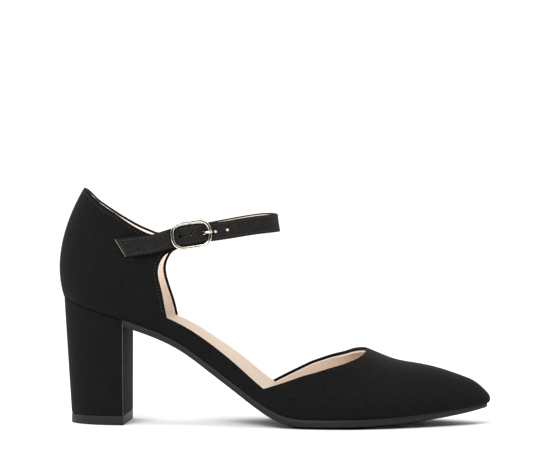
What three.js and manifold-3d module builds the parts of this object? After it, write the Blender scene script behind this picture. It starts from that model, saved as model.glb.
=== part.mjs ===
import * as THREE from 'three';
import { mergeVertices } from 'three/addons/utils/BufferGeometryUtils.js';
import Module from 'manifold-3d';

// A right shoe: a pointed two-piece pump on a block heel, with a buckled ankle strap.
// Millimetres. The origin is the middle of the heel's ground face, +X runs to the toe,
// +Y to the inner side of the foot, +Z up.

// Driving sizes of the last and the upper
const LENGTH = 238.4; // back of the counter to the toe, outside
const HEEL_HEIGHT = 70; // floor to the back of the seat
const COUNTER = 59.7; // seat to the peak of the collar
const VAMP = 40.6; // floor to the top of the instep at the throat
const SEAT = 46; // width of the seat
const WAIST = 40; // width of the arch
const BALL = 75; // width across the ball
const TOE_SPRING = 6.1; // lift of the toe
const WALL = 1.8; // upper with its lining
const VAMP_STEP = 0.8; // the vamp lies this proud over the band
const COUNTER_SWELL = 2.6; // how far the sides round out over the feather edge
const GAP = 0.3; // clearance between two pieces that touch

// Sole, insole and heel
const OUTSOLE = 5.5; // at the middle of the ball, before it is ground flat
const GRIND = 0.2; // taken off there
const SOLE_EDGE = 3.9; // height of the trimmed edge
const SOLE_PROUD = 0.4; // the edge stands out from the last
const INSOLE = 9; // padded insole at the back of the arch
const TIP_LONG = 31.3; // heel's rubber top piece
const TIP_WIDE = 43;
const TIP_THICK = 5;
const HEEL_RAKE = 6.8; // counter behind the back of the top piece
const HEEL_LEDGE = 0.3; // seat edge past the block, all round

// Ankle strap, its tab and the buckle
const STRAP_WIDE = 10;
const STRAP_THICK = 1.6;
const TAB_WIDE = 10.2;
const TAB_THICK = 1.3;
const LOOP_WIDE = 7;
const LOOP_THICK = 0.8;
const HOLE = 1.5; // punched hole
const HOLE_STEP = 6.5;
const STRAP_BOW = 0.01; // curvature of the strap ahead of the buckle, per millimetre
const BUCKLE_LONG = 22.4;
const BUCKLE_WIDE = 15.4;
const BUCKLE_RADIUS = 6.4;
const BUCKLE_RIM = 2.2;
const BUCKLE_THICK = 1.6;
const BUCKLE_TILT = THREE.MathUtils.degToRad(8.5);
const BAR = 1.4; // diameter of the centre bar
const PRONG_WIDE = 1.3;
const PRONG_THICK = 1;

// Meshing
const RIBS = 40; // ribs of the last on each side
const ROWS = [0, 0.03, 0.06, 0.1, 0.15, 0.21, 0.28, 0.36, 0.46, 0.58, 0.72, 0.86, 0.985];
const LAP = 0.01; // overlap of two cutters that meet

const TREAD = OUTSOLE + GAP - GRIND; // the last's ball over the floor
const COUNTER_BACK = TIP_LONG / 2 + HEEL_RAKE;
const LEG = HEEL_HEIGHT + COUNTER;

const wasm = await Module();
wasm.setup();

const steps = (from, to, count) => Array.from({ length: count + 1 }, (_, k) => from + ((to - from) * k) / count);

// Natural cubic spline through (xs, ys)
function spline(xs, ys) {
  const n = xs.length;
  const bend = new Array(n).fill(0);
  const carry = new Array(n).fill(0);
  for (let i = 1; i < n - 1; i++) {
    const before = xs[i] - xs[i - 1];
    const after = xs[i + 1] - xs[i];
    const pivot = 2 * (before + after) - before * carry[i - 1];
    const turn = 6 * ((ys[i + 1] - ys[i]) / after - (ys[i] - ys[i - 1]) / before);
    carry[i] = after / pivot;
    bend[i] = (turn - before * bend[i - 1]) / pivot;
  }
  for (let i = n - 2; i > 0; i--) bend[i] -= carry[i] * bend[i + 1];
  return (x) => {
    let i = 0;
    while (i < n - 2 && x > xs[i + 1]) i++;
    const h = xs[i + 1] - xs[i];
    const a = (xs[i + 1] - x) / h;
    const b = (x - xs[i]) / h;
    const curve = (a ** 3 - a) * bend[i] + (b ** 3 - b) * bend[i + 1];
    return a * ys[i] + b * ys[i + 1] + (curve * h * h) / 6;
  };
}

// `at` is a share of LENGTH, from the back of the counter
const place = (at) => at * LENGTH - COUNTER_BACK;

// One curve per column of a table whose rows stand at `at`
function curves(rows, columns) {
  const xs = rows.map((row) => place(row.at));
  return columns.map((value) => spline(xs, rows.map(value)));
}

// Feather edge of the last. half: half width as a share of `of`. swing: middle line off the X axis,
// a share of BALL. rise: share of the climb from ball to seat. spring: share of TOE_SPRING.
const FEATHER = [
  { at: 0.01, of: SEAT, half: 0, swing: 0, rise: 1, spring: 0 },
  { at: 0.043, of: SEAT, half: 0.317, swing: 0, rise: 0.953, spring: 0 },
  { at: 0.081, of: SEAT, half: 0.44, swing: 0, rise: 0.904, spring: 0 },
  { at: 0.128, of: SEAT, half: 0.498, swing: -0.003, rise: 0.852, spring: 0 },
  { at: 0.178, of: SEAT, half: 0.5, swing: -0.011, rise: 0.792, spring: 0 },
  { at: 0.238, of: WAIST, half: 0.535, swing: -0.024, rise: 0.711, spring: 0 },
  { at: 0.297, of: WAIST, half: 0.5, swing: -0.035, rise: 0.599, spring: 0 },
  { at: 0.356, of: WAIST, half: 0.525, swing: -0.039, rise: 0.444, spring: 0 },
  { at: 0.415, of: BALL, half: 0.324, swing: -0.039, rise: 0.286, spring: 0 },
  { at: 0.474, of: BALL, half: 0.381, swing: -0.035, rise: 0.134, spring: 0 },
  { at: 0.533, of: BALL, half: 0.439, swing: -0.029, rise: 0.025, spring: 0 },
  { at: 0.592, of: BALL, half: 0.48, swing: -0.024, rise: 0, spring: 0 },
  { at: 0.668, of: BALL, half: 0.5, swing: -0.012, rise: 0, spring: 0.02 },
  { at: 0.744, of: BALL, half: 0.469, swing: 0.007, rise: 0, spring: 0.11 },
  { at: 0.82, of: BALL, half: 0.389, swing: 0.029, rise: 0, spring: 0.31 },
  { at: 0.896, of: BALL, half: 0.272, swing: 0.048, rise: 0, spring: 0.57 },
  { at: 0.955, of: BALL, half: 0.15, swing: 0.059, rise: 0, spring: 0.81 },
  { at: 0.992, of: BALL, half: 0, swing: 0.064, rise: 0, spring: 1 },
];
const [halfSquared, middle, rise] = curves(FEATHER, [
  (row) => (row.half * row.of) ** 2,
  (row) => row.swing * BALL,
  (row) => TREAD + row.rise * (HEEL_HEIGHT - TREAD) + row.spring * TOE_SPRING,
]);
const BACK = place(FEATHER[0].at);
const TOE = place(FEATHER.at(-1).at);

// Ridge of the last, from over the seat to the toe: height as a share of `of`, across as a share of BALL
const RIDGE = [
  { at: 0.347, of: LEG, height: 1.195, across: 0 },
  { at: 0.432, of: LEG, height: 0.92, across: 0.003 },
  { at: 0.516, of: LEG, height: 0.67, across: 0.008 },
  { at: 0.6, of: LEG, height: 0.478, across: 0.016 },
  { at: 0.662, of: VAMP, height: 1.15, across: 0.024 },
  { at: 0.7173, of: VAMP, height: 1, across: 0.03 },
  { at: 0.776, of: VAMP, height: 0.863, across: 0.039 },
  { at: 0.834, of: VAMP, height: 0.799, across: 0.048 },
  { at: 0.885, of: VAMP, height: 0.73, across: 0.056 },
  { at: 0.943, of: VAMP, height: 0.615, across: 0.063 },
];
const [ridge, across] = curves(RIDGE, [
  (row) => row.height * row.of,
  (row) => row.across * BALL,
]);

// Section of each rib. square: how full its corner is. pinch: how the ankle narrows.
// bulge: share of COUNTER_SWELL. reach: share of COUNTER over which the bulge dies out.
const SECTION = [
  { at: 0.01, square: 2.9, pinch: 0.12, bulge: 1, reach: 0.97 },
  { at: 0.1, square: 2.8, pinch: 0.12, bulge: 0.96, reach: 0.94 },
  { at: 0.2, square: 2.6, pinch: 0.11, bulge: 0.88, reach: 0.84 },
  { at: 0.3, square: 2.3, pinch: 0.06, bulge: 0.62, reach: 0.7 },
  { at: 0.44, square: 2.1, pinch: 0, bulge: 0.46, reach: 0.5 },
  { at: 0.6, square: 2.05, pinch: 0, bulge: 0.62, reach: 0.4 },
  { at: 0.8, square: 2.15, pinch: 0, bulge: 0.69, reach: 0.3 },
  { at: 0.9, square: 2.3, pinch: 0, bulge: 0.6, reach: 0.23 },
  { at: 0.992, square: 2.4, pinch: 0, bulge: 0.5, reach: 0.2 },
];
const [square, pinch, bulge, reach] = curves(SECTION, [
  (row) => row.square,
  (row) => row.pinch,
  (row) => row.bulge * COUNTER_SWELL,
  (row) => row.reach * COUNTER,
]);

// Where a rib that starts at x on the feather edge meets the ridge: the end ribs lean in
const LEAN_BACK = place(0.516);
const LEAN_TOE = place(0.77);
function lean(x) {
  const back = THREE.MathUtils.clamp((LEAN_BACK - x) / (LEAN_BACK - BACK), 0, 1);
  const toe = THREE.MathUtils.clamp((x - LEAN_TOE) / (TOE - LEAN_TOE), 0, 1);
  return x + (place(RIDGE[0].at) - BACK) * back ** 2 - (TOE - place(RIDGE.at(-1).at)) * toe ** 2;
}

// u runs round the feather edge: 0 at the back, 1 or -1 at the toe, positive on the inner side
function feather(u) {
  const x = BACK + ((TOE - BACK) * (1 - Math.cos(Math.PI * u))) / 2;
  const half = Math.sqrt(Math.max(halfSquared(x), 0));
  return new THREE.Vector3(x, middle(x) + Math.sign(Math.sin(Math.PI * u)) * half, rise(x));
}
const along = (at) => Math.acos(1 - (2 * (place(at) - BACK)) / (TOE - BACK)) / Math.PI;

// v runs up a rib: 0 on the feather edge, 1 on the ridge. `run` turned a quarter points outward.
function rib(u, v) {
  const step = 1e-4;
  const foot = feather(u);
  const run = feather(u + step).sub(feather(u - step)).setZ(0).normalize();
  const angle = (v * Math.PI) / 2;
  const power = square(foot.x);
  const size = (Math.abs(Math.cos(angle)) ** power + Math.abs(Math.sin(angle)) ** power) ** (-1 / power);
  const spread = Math.cos(angle) * size;
  const lift = Math.sin(angle) * size;
  const top = lean(foot.x);
  const slope = (ridge(top + step) - ridge(top - step)) / (2 * step);
  const height = lift * (ridge(top) - foot.z);
  const t = Math.min(height / reach(foot.x), 1);
  const swell = bulge(foot.x) * 6.75 * t * (1 - t) ** 2; // 6.75 makes its peak 1
  const narrow = spread * (1 - pinch(foot.x) * lift * lift);
  return new THREE.Vector3(
    top + (foot.x - top) * spread - run.y * swell,
    across(top) + (foot.y - across(top)) * narrow + run.x * swell,
    foot.z + height + slope * Math.max(foot.x - top, 0) * spread * lift,
  );
}

// The last's surface moved outward by `out`
function skin(u, v, out = 0) {
  const step = 1e-3;
  const [low, high] = [Math.max(v - step, 0), Math.min(v + step, 1)];
  const up = rib(u, high).sub(rib(u, low));
  const round = rib(u + step, v).sub(rib(u - step, v));
  const normal = up.cross(round).normalize();
  const point = rib(u, v).addScaledVector(normal, out);
  if (v === 0) point.z = feather(u).z;
  return { point, normal };
}

// The spot of the surface that is seen at (x, z) from one side
function spot(side, x, z) {
  let u = side * along((x + COUNTER_BACK) / LENGTH);
  let v = 0.3;
  const step = 1e-5;
  for (let turn = 0; turn < 30; turn++) {
    const here = rib(u, v);
    const du = rib(u + step, v).sub(here).divideScalar(step);
    const dv = rib(u, v + step).sub(here).divideScalar(step);
    const area = du.x * dv.z - du.z * dv.x;
    const [missX, missZ] = [x - here.x, z - here.z];
    u += THREE.MathUtils.clamp((missX * dv.z - missZ * dv.x) / area, -0.05, 0.05);
    v += THREE.MathUtils.clamp((du.x * missZ - du.z * missX) / area, -0.1, 0.1);
  }
  return [u, v];
}

// Closed solid from a stack of rings, the lowest first, each running clockwise as seen from above.
// The end caps are strips straight across.
function loft(rings) {
  const count = rings[0].length;
  const index = [];
  rings.slice(1).forEach((ring, r) => {
    for (let i = 0; i < count; i++) {
      const [a, b] = [r * count + i, r * count + ((i + 1) % count)];
      index.push(a, b + count, b, a, a + count, b + count);
    }
  });
  const last = (rings.length - 1) * count;
  for (let i = 0; i < Math.floor(count / 2); i++) {
    const [a, b, c, d] = [i, i + 1, count - i - 1, (count - i) % count];
    if (b !== c) index.push(a, b, c, last + a, last + c, last + b);
    if (a !== d) index.push(a, c, d, last + a, last + d, last + c);
  }
  const geometry = new THREE.BufferGeometry().setFromPoints(rings.flat());
  geometry.setIndex(index);
  return geometry;
}

function solid(geometry) {
  const bare = geometry.clone();
  bare.deleteAttribute('normal');
  bare.deleteAttribute('uv');
  const merged = mergeVertices(bare, 1e-5);
  return new wasm.Manifold(new wasm.Mesh({
    numProp: 3,
    vertProperties: new Float32Array(merged.attributes.position.array),
    triVerts: new Uint32Array(merged.index.array),
  }));
}

function geometryOf(manifold) {
  const mesh = manifold.getMesh();
  const geometry = new THREE.BufferGeometry();
  geometry.setAttribute('position', new THREE.BufferAttribute(mesh.vertProperties, 3));
  geometry.setIndex(new THREE.BufferAttribute(mesh.triVerts, 1));
  return geometry;
}

// The whole last, its skin moved outward by `out`; `below` lets it run on under the feather edge
function lastForm(out, below = 0) {
  const us = Array.from({ length: 2 * RIBS }, (_, k) => k / RIBS).map((u) => (u > 1 ? u - 2 : u));
  const rings = ROWS.map((v) => us.map((u) => skin(u, v, out).point));
  if (below) rings.unshift(rings[0].map((p) => p.clone().setZ(p.z - below)));
  return loft(rings);
}

// Points of an outline given as { at, round } rows, smoothed and seen from one side
function sideView(side, rows, fineness) {
  const path = new THREE.SplineCurve(rows.map((row) => new THREE.Vector2(row.at, row.round)));
  return path.getPoints(rows.length * fineness).map(({ x, y }) => {
    const point = rib(side * along(x), Math.min(y, 1));
    return new THREE.Vector2(point.x, point.z);
  });
}

// An outline in the side view, pushed along Y from `near` to `far`
function slab(points, near, far) {
  const geometry = new THREE.ExtrudeGeometry(new THREE.Shape(points), { depth: far - near, bevelEnabled: false });
  return geometry.rotateX(Math.PI / 2).translate(0, far, 0);
}

// Edges of the upper. `at` is a place on the feather edge, `round` the share of the way up the rib.
// The outer side's share is under lateral, the inner side's under medial: shares of `round`,
// and of `at` on the front of the quarter.
const PEAK = 0.438; // collar at the middle of the back
const COLLAR = [
  { at: 0.01, lateral: PEAK, medial: PEAK },
  { at: 0.0165, lateral: 0.434, medial: 0.431 },
  { at: 0.0385, lateral: 0.41, medial: 0.4 },
  { at: 0.059, lateral: 0.387, medial: 0.374 },
  { at: 0.093, lateral: 0.356, medial: 0.3435 },
  { at: 0.1235, lateral: 0.336, medial: 0.322 },
  { at: 0.161, lateral: 0.3135, medial: 0.3045 },
  { at: 0.192, lateral: 0.3028, medial: 0.299 },
  { at: 0.2183, lateral: 0.302, medial: 0.301 },
  { at: 0.2465, lateral: 0.321, medial: 0.322 },
  { at: 0.2629, lateral: 0.34, medial: 0.34 },
  { at: 0.275, lateral: 0.351, medial: 0.351 },
];
const QUARTER_FRONT = [
  { round: 0.317, lateral: 0.2833, medial: 0.2829 },
  { round: 0.292, lateral: 0.2745, medial: 0.272 },
  { round: 0.263, lateral: 0.2555, medial: 0.253 },
  { round: 0.235, lateral: 0.2448, medial: 0.2425 },
  { round: 0.203, lateral: 0.239, medial: 0.2362 },
  { round: 0.175, lateral: 0.241, medial: 0.2379 },
  { round: 0.143, lateral: 0.2486, medial: 0.2457 },
  { round: 0.107, lateral: 0.2548, medial: 0.2566 },
  { round: 0.066, lateral: 0.261, medial: 0.2655 },
];
const BAND_TOP = [
  { at: 0.2617, lateral: 0.061, medial: 0.057 },
  { at: 0.2893, lateral: 0.0645, medial: 0.058 },
  { at: 0.334, lateral: 0.072, medial: 0.063 },
  { at: 0.3717, lateral: 0.0765, medial: 0.067 },
  { at: 0.4241, lateral: 0.0765, medial: 0.067 },
  { at: 0.4838, lateral: 0.069, medial: 0.062 },
];
const VAMP_TOP = [
  { at: 0.4908, lateral: 0.075, medial: 0.073 },
  { at: 0.53, lateral: 0.147, medial: 0.161 },
  { at: 0.5685, lateral: 0.22, medial: 0.25 },
  { at: 0.6105, lateral: 0.31, medial: 0.362 },
  { at: 0.6525, lateral: 0.445, medial: 0.527 },
  { at: 0.683, lateral: 0.566, medial: 0.7 },
  { at: 0.7, lateral: 0.655, medial: 0.81 },
  { at: 0.7115, lateral: 0.775, medial: 0.9 },
  { at: 0.7173, lateral: 1, medial: 1 },
];
const VAMP_LOBE = [
  { at: 0.438, round: 0 },
  { at: 0.442, round: 0.011 },
  { at: 0.4615, round: 0.037 },
  { at: 0.4908, round: 0.075 },
];
const CLEAR = LEG; // far enough out to pass the whole shoe
const throat = rib(along(VAMP_TOP.at(-1).at), 1);

// What the upper leaves open on one side: collar, ankle, arch and throat in one outline
function opening(side) {
  const column = side > 0 ? 'medial' : 'lateral';
  const own = (rows) => rows.map((row) => ({ at: row.at, round: row[column] }));
  const front = QUARTER_FRONT.map((row) => ({ at: row[column], round: row.round }));
  const outline = [
    ...sideView(side, own(COLLAR), 3),
    ...sideView(side, front, 4),
    ...sideView(side, own(BAND_TOP), 2),
    ...sideView(side, own(VAMP_TOP), 4),
    new THREE.Vector2(throat.x, throat.z + CLEAR),
    new THREE.Vector2(BACK - CLEAR, throat.z + CLEAR),
    new THREE.Vector2(BACK - CLEAR, rib(0, PEAK).z),
  ];
  return side > 0
    ? slab(outline, throat.y - LAP, throat.y + CLEAR)
    : slab(outline, throat.y - CLEAR, throat.y + LAP);
}

// The vamp stands proud of the band, back to the lobe that tucks under the arch
function vampSide() {
  const lobe = sideView(-1, VAMP_LOBE, 4);
  return slab([
    new THREE.Vector2(lobe[0].x, -CLEAR),
    ...lobe,
    new THREE.Vector2(lobe.at(-1).x, CLEAR),
    new THREE.Vector2(TOE + CLEAR, CLEAR),
    new THREE.Vector2(TOE + CLEAR, -CLEAR),
  ], -CLEAR, CLEAR);
}

function upper() {
  const vamp = solid(lastForm(VAMP_STEP)).intersect(solid(vampSide()));
  return geometryOf(solid(lastForm(0)).add(vamp)
    .subtract(solid(lastForm(-WALL, INSOLE)))
    .subtract(solid(opening(-1)))
    .subtract(solid(opening(1))));
}

// Padded insole inside the upper's wall. thick: share of INSOLE. arch: how much higher than that
// it climbs to the inner side of the waist, where it covers the band, as a share of INSOLE.
const PADDING = [
  { at: 0.01, thick: 0.66, arch: 0 },
  { at: 0.18, thick: 0.8, arch: 0.02 },
  { at: 0.26, thick: 0.98, arch: 0.14 },
  { at: 0.33, thick: 1.13, arch: 0.24 },
  { at: 0.42, thick: 1.09, arch: 0.27 },
  { at: 0.48, thick: 0.86, arch: 0.2 },
  { at: 0.55, thick: 0.66, arch: 0.08 },
  { at: 0.68, thick: 0.55, arch: 0 },
  { at: 0.85, thick: 0.45, arch: 0 },
  { at: 0.992, thick: 0.38, arch: 0 },
];
const [padding, arch] = curves(PADDING, [
  (row) => row.thick * INSOLE,
  (row) => (row.arch * INSOLE) / (WAIST / 2),
]);
const SLICES = 60; // steps along the insole

function insole() {
  const slices = steps(BACK, TOE, SLICES).map((x) => {
    const [low, high] = [rise(x), rise(x) + padding(x)];
    return [[-BALL, high], [0, high], [BALL, high + Math.max(arch(x), 0) * BALL], [BALL, low], [-BALL, low]]
      .map(([y, z]) => new THREE.Vector3(x, middle(x) + y, z));
  });
  return geometryOf(solid(loft(slices)).intersect(solid(lastForm(-WALL - GAP, INSOLE))));
}

// Outsole: starts at the heel's breast. thick and edge are shares of OUTSOLE and SOLE_EDGE.
const SOLE = [
  { at: 0.15, thick: 0.68, edge: 0.94 },
  { at: 0.24, thick: 0.7, edge: 0.94 },
  { at: 0.33, thick: 0.8, edge: 0.97 },
  { at: 0.42, thick: 0.86, edge: 1 },
  { at: 0.5, thick: 0.97, edge: 1 },
  { at: 0.56, thick: 1, edge: 1 },
  { at: 0.76, thick: 0.96, edge: 0.98 },
  { at: 0.86, thick: 0.8, edge: 0.84 },
  { at: 0.95, thick: 0.63, edge: 0.68 },
  { at: 0.992, thick: 0.53, edge: 0.58 },
];
const [thickness, edge] = curves(SOLE, [
  (row) => row.thick * OUTSOLE,
  (row) => row.edge * SOLE_EDGE,
]);
const BEVEL = 0.2; // the ground face is drawn in by this share of the half width
const BREAST = TIP_LONG / 2;

function outsole() {
  const start = along((BREAST + GAP + COUNTER_BACK) / LENGTH);
  const us = Array.from({ length: RIBS + 1 }, (_, k) => 1 - ((1 - start) * k) / RIBS);
  const around = [...us.map((u) => -u), ...us.slice(1).reverse()];
  const rim = around.map((u) => skin(u, 0, SOLE_PROUD).point)
    .map((p) => p.setX(Math.max(p.x, BREAST + GAP)));
  const level = (height, inward = 0) => rim.map((p) => {
    const spine = new THREE.Vector3(Math.min(p.x, TOE - BALL / 3), middle(Math.min(p.x, TOE)), 0);
    const point = p.clone().lerp(spine, inward);
    return point.setZ(Math.max(rise(Math.min(point.x, TOE)) - GAP - height(Math.min(point.x, TOE)), 0));
  });
  return loft([level(thickness, BEVEL), level(edge), level(() => 0)]);
}

// Block heel: half an ellipse behind a flat breast, tapering to the top piece
const HEEL_STEPS = 14;
function heelRing(long, wide, height) {
  const half = Array.from({ length: HEEL_STEPS + 1 }, (_, k) => (k / HEEL_STEPS) * (Math.PI / 2));
  const arc = half.map((angle) => [BREAST - long * Math.cos(angle), (wide / 2) * Math.sin(angle)]);
  return [...arc, ...arc.slice(1).reverse().map(([x, y]) => [x, -y])]
    .map(([x, y]) => new THREE.Vector3(x, y, height(x)));
}

function heel() {
  const long = BREAST - BACK - HEEL_LEDGE;
  return loft([
    heelRing(TIP_LONG, TIP_WIDE, () => TIP_THICK + GAP),
    heelRing(long, SEAT - 2 * HEEL_LEDGE, (x) => rise(Math.max(x, BACK)) - GAP),
  ]);
}

function heelTopPiece() {
  return loft([heelRing(TIP_LONG, TIP_WIDE, () => 0), heelRing(TIP_LONG, TIP_WIDE, () => TIP_THICK)]);
}

// Middle line of tab, buckle and strap in the side view: up as a share of COUNTER over the seat
const STRAP_LINE = [
  { at: 0.14, up: 0.447 },
  { at: 0.1557, up: 0.453 },
  { at: 0.1954, up: 0.47 },
  { at: 0.2321, up: 0.494 },
  { at: 0.276, up: 0.549 },
  { at: 0.32, up: 0.585 },
  { at: 0.365, up: 0.612 },
];
const [strapLine] = curves(STRAP_LINE, [(row) => HEEL_HEIGHT + row.up * COUNTER]);
const PERCH = place(0.2743); // where the buckle's back rim rests on the wing of the quarter
const STRAP_TIP = place(0.2);
const STRAP_END = place(0.17); // on the inner side
const LOOP_START = place(0.225); // the strap climbs over the loop from here
const LOOP_CLIMB = 8;
const HALF_BUCKLE = (BUCKLE_LONG - BUCKLE_RIM) / 2;
const UNDER_RIM = BUCKLE_THICK / 2 + GAP + STRAP_THICK; // strap's inner face under the rim
const BAR_DROP = UNDER_RIM + GAP + LOOP_THICK / 2;
const EYE = BAR / 2 + GAP; // bore of the two eyes on the bar
const HUMP = EYE + LOOP_THICK / 2; // the strap's rise over the loop's eye
const PRONG_HOLE = 6.9; // ahead of the bar
const PRONG_BEND = 1.8; // the prong starts to rise this much before its hole

// Axes on the wing: forward, outward and up, with the strap's tilt
function wingAxes(side) {
  const { point, normal } = skin(...spot(side, PERCH, strapLine(PERCH)));
  const forward = new THREE.Vector3(Math.cos(BUCKLE_TILT), 0, Math.sin(BUCKLE_TILT));
  forward.addScaledVector(normal, -forward.dot(normal)).normalize();
  const up = forward.clone().cross(normal).multiplyScalar(side);
  return (t, out, w = 0) => point.clone()
    .addScaledVector(forward, t).addScaledVector(normal, out).addScaledVector(up, w);
}
const onWing = { outer: wingAxes(-1), inner: wingAxes(1) };
const RIM_HEIGHT = GAP + LOOP_THICK + GAP + UNDER_RIM;
const onBuckle = (t, out, w = 0) => onWing.outer(t + HALF_BUCKLE, out + RIM_HEIGHT, w);

// A ring of a ribbon: from its inner face's lower and upper corner, and its thickness outward
const ribbonRing = (low, high, out) => [low, low.clone().add(out), high.clone().add(out), high];

// A ring of a ribbon on the quarter, between two points of the side view
function quarterRing(side, low, high, offset, thick) {
  const [a, b] = [low, high].map(([x, z]) => skin(...spot(side, x, z), offset));
  return ribbonRing(a.point, b.point, a.normal.clone().add(b.normal).setLength(thick));
}

const ease = (x, from, length) => THREE.MathUtils.smoothstep(x, from, from + length);
const strapLift = (x) => GAP + (LOOP_THICK + GAP) * ease(x, LOOP_START, LOOP_CLIMB);

function strapOnQuarter(side, x, width) {
  const tilt = Math.atan2(strapLine(x + 1) - strapLine(x - 1), 2);
  const [dx, dz] = [-Math.sin(tilt) * width * STRAP_WIDE / 2, Math.cos(tilt) * width * STRAP_WIDE / 2];
  const z = strapLine(x);
  const lift = side < 0 ? strapLift(x) : GAP;
  return quarterRing(side, [x - dx, z - dz], [x + dx, z + dz], lift, STRAP_THICK);
}

// Inner face of the strap along the buckle, outward from the middle of the rim
function strapFace(t) {
  const inside = HALF_BUCKLE - BUCKLE_RIM / 2;
  const hump = Math.abs(t) < inside ? HUMP * Math.cos((t / inside) * (Math.PI / 2)) ** 2 : 0;
  return hump - UNDER_RIM + STRAP_BOW * Math.max(t - HALF_BUCKLE, 0) ** 2;
}
const STRAIGHT = PRONG_HOLE + 2.3 * HOLE_STEP; // the strap is straight to here, past its last hole

// The free loop over the instep: aside as a share of half of SEAT, outer side first
const STRAP_LOOP = [
  { at: 0.4312, aside: -0.839, up: 0.641 },
  { at: 0.4618, aside: -0.783, up: 0.66 },
  { at: 0.4883, aside: -0.557, up: 0.671 },
  { at: 0.5013, aside: -0.274, up: 0.676 },
  { at: 0.5046, aside: 0, up: 0.677 },
  { at: 0.5013, aside: 0.274, up: 0.678 },
  { at: 0.4883, aside: 0.557, up: 0.678 },
  { at: 0.4618, aside: 0.783, up: 0.668 },
  { at: 0.4312, aside: 0.839, up: 0.649 },
  { at: 0.3852, aside: 0.81, up: 0.617 },
  { at: 0.3388, aside: 0.745, up: 0.586 },
];
const LOOP_RINGS = 36;

function strapLoopRings() {
  const start = onBuckle(STRAIGHT, strapFace(STRAIGHT));
  const end = onWing.inner(0, GAP);
  const shared = STRAP_LOOP.map((row) => new THREE.Vector3(
    place(row.at), (row.aside * SEAT) / 2, HEEL_HEIGHT + row.up * COUNTER));
  const path = new THREE.CatmullRomCurve3([start, ...shared, onWing.inner(STRAP_THICK, GAP), end]);
  return Array.from({ length: LOOP_RINGS }, (_, k) => (k + 1) / (LOOP_RINGS + 1)).map((s) => {
    const [point, forward] = [path.getPointAt(s), path.getTangentAt(s)];
    const upright = onBuckle(0, 0, 1).sub(onBuckle(0, 0))
      .lerp(onWing.inner(0, 0, 1).sub(onWing.inner(0, 0)), s);
    const up = upright.addScaledVector(forward, -upright.dot(forward)).setLength(STRAP_WIDE / 2);
    const out = forward.clone().cross(up).setLength(STRAP_THICK);
    return ribbonRing(point.clone().sub(up), point.clone().add(up), out);
  });
}

// A flat profile in the plane of the strap's side view, cut to a width across the strap
function acrossStrap(shape, width) {
  const geometry = new THREE.ExtrudeGeometry(shape, { depth: width, bevelEnabled: false, curveSegments: 8 });
  geometry.translate(0, 0, -width / 2);
  const centre = onBuckle(0, 0);
  const [forward, outward, up] = [onBuckle(1, 0), onBuckle(0, 1), onBuckle(0, 0, -1)].map((p) => p.sub(centre));
  return solid(geometry.applyMatrix4(new THREE.Matrix4().makeBasis(forward, outward, up).setPosition(centre)));
}

// A bent bar of even thickness along a few points
function bent(points, half) {
  const sides = [1, -1].map((sign) => points.map(([x, y], i) => {
    const [before, after] = [points[Math.max(i - 1, 0)], points[Math.min(i + 1, points.length - 1)]];
    const run = new THREE.Vector2(after[0] - before[0], after[1] - before[1]).normalize();
    return new THREE.Vector2(x - run.y * half * sign, y + run.x * half * sign);
  }));
  return new THREE.Shape([...sides[1], ...sides[0].reverse()]);
}

function eye(outer, bore) {
  const shape = new THREE.Shape().absarc(0, -BAR_DROP, outer, 0, 2 * Math.PI);
  if (bore) shape.holes.push(new THREE.Path().absarc(0, -BAR_DROP, bore, 0, 2 * Math.PI));
  return shape;
}

// The prong hinges on the bar, comes up through a hole and rests on the front rim.
// `room` grows it into the clearance that its neighbours leave.
function prongSolid(room = 0) {
  const width = PRONG_WIDE + 2 * room;
  const rest = BUCKLE_THICK / 2 + GAP + PRONG_THICK / 2;
  const shank = bent([
    [EYE + PRONG_THICK / 4, -BAR_DROP],
    [PRONG_HOLE - PRONG_BEND, -BAR_DROP + GAP],
    [PRONG_HOLE + PRONG_THICK, rest - PRONG_THICK / 10],
    [PRONG_HOLE + 2 * PRONG_THICK, rest],
    [HALF_BUCKLE + BUCKLE_RIM / 2 + GAP, rest],
  ], PRONG_THICK / 2 + room);
  return acrossStrap(eye(EYE + PRONG_THICK * 0.6 + room, room ? 0 : EYE), width)
    .add(acrossStrap(shank, width));
}

function ankleStrap() {
  const onOuter = steps(STRAP_TIP, PERCH - BUCKLE_RIM, 10)
    .map((x, i) => strapOnQuarter(-1, x, [0.4, 0.8][i] ?? 1));
  const straight = steps(-HALF_BUCKLE, STRAIGHT, 22).map((t) => ribbonRing(
    onBuckle(t, strapFace(t), -STRAP_WIDE / 2),
    onBuckle(t, strapFace(t), STRAP_WIDE / 2),
    onBuckle(0, STRAP_THICK).sub(onBuckle(0, 0))));
  const onInner = steps(PERCH, STRAP_END, 8).map((x) => strapOnQuarter(1, x, 1));
  const strap = solid(loft([...onOuter, ...straight, ...strapLoopRings(), ...onInner]));
  const holes = [-2, -1, 1, 2].map((k) => {
    const punch = new THREE.CylinderGeometry(HOLE / 2, HOLE / 2, 8 * STRAP_THICK, 8);
    const t = PRONG_HOLE + k * HOLE_STEP;
    const outward = onBuckle(0, 1).sub(onBuckle(0, 0));
    punch.applyQuaternion(new THREE.Quaternion().setFromUnitVectors(new THREE.Vector3(0, 1, 0), outward));
    const { x, y, z } = onBuckle(t, strapFace(t));
    return solid(punch.translate(x, y, z));
  });
  return geometryOf([prongSolid(GAP), ...holes].reduce((left, cut) => left.subtract(cut), strap));
}

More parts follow.
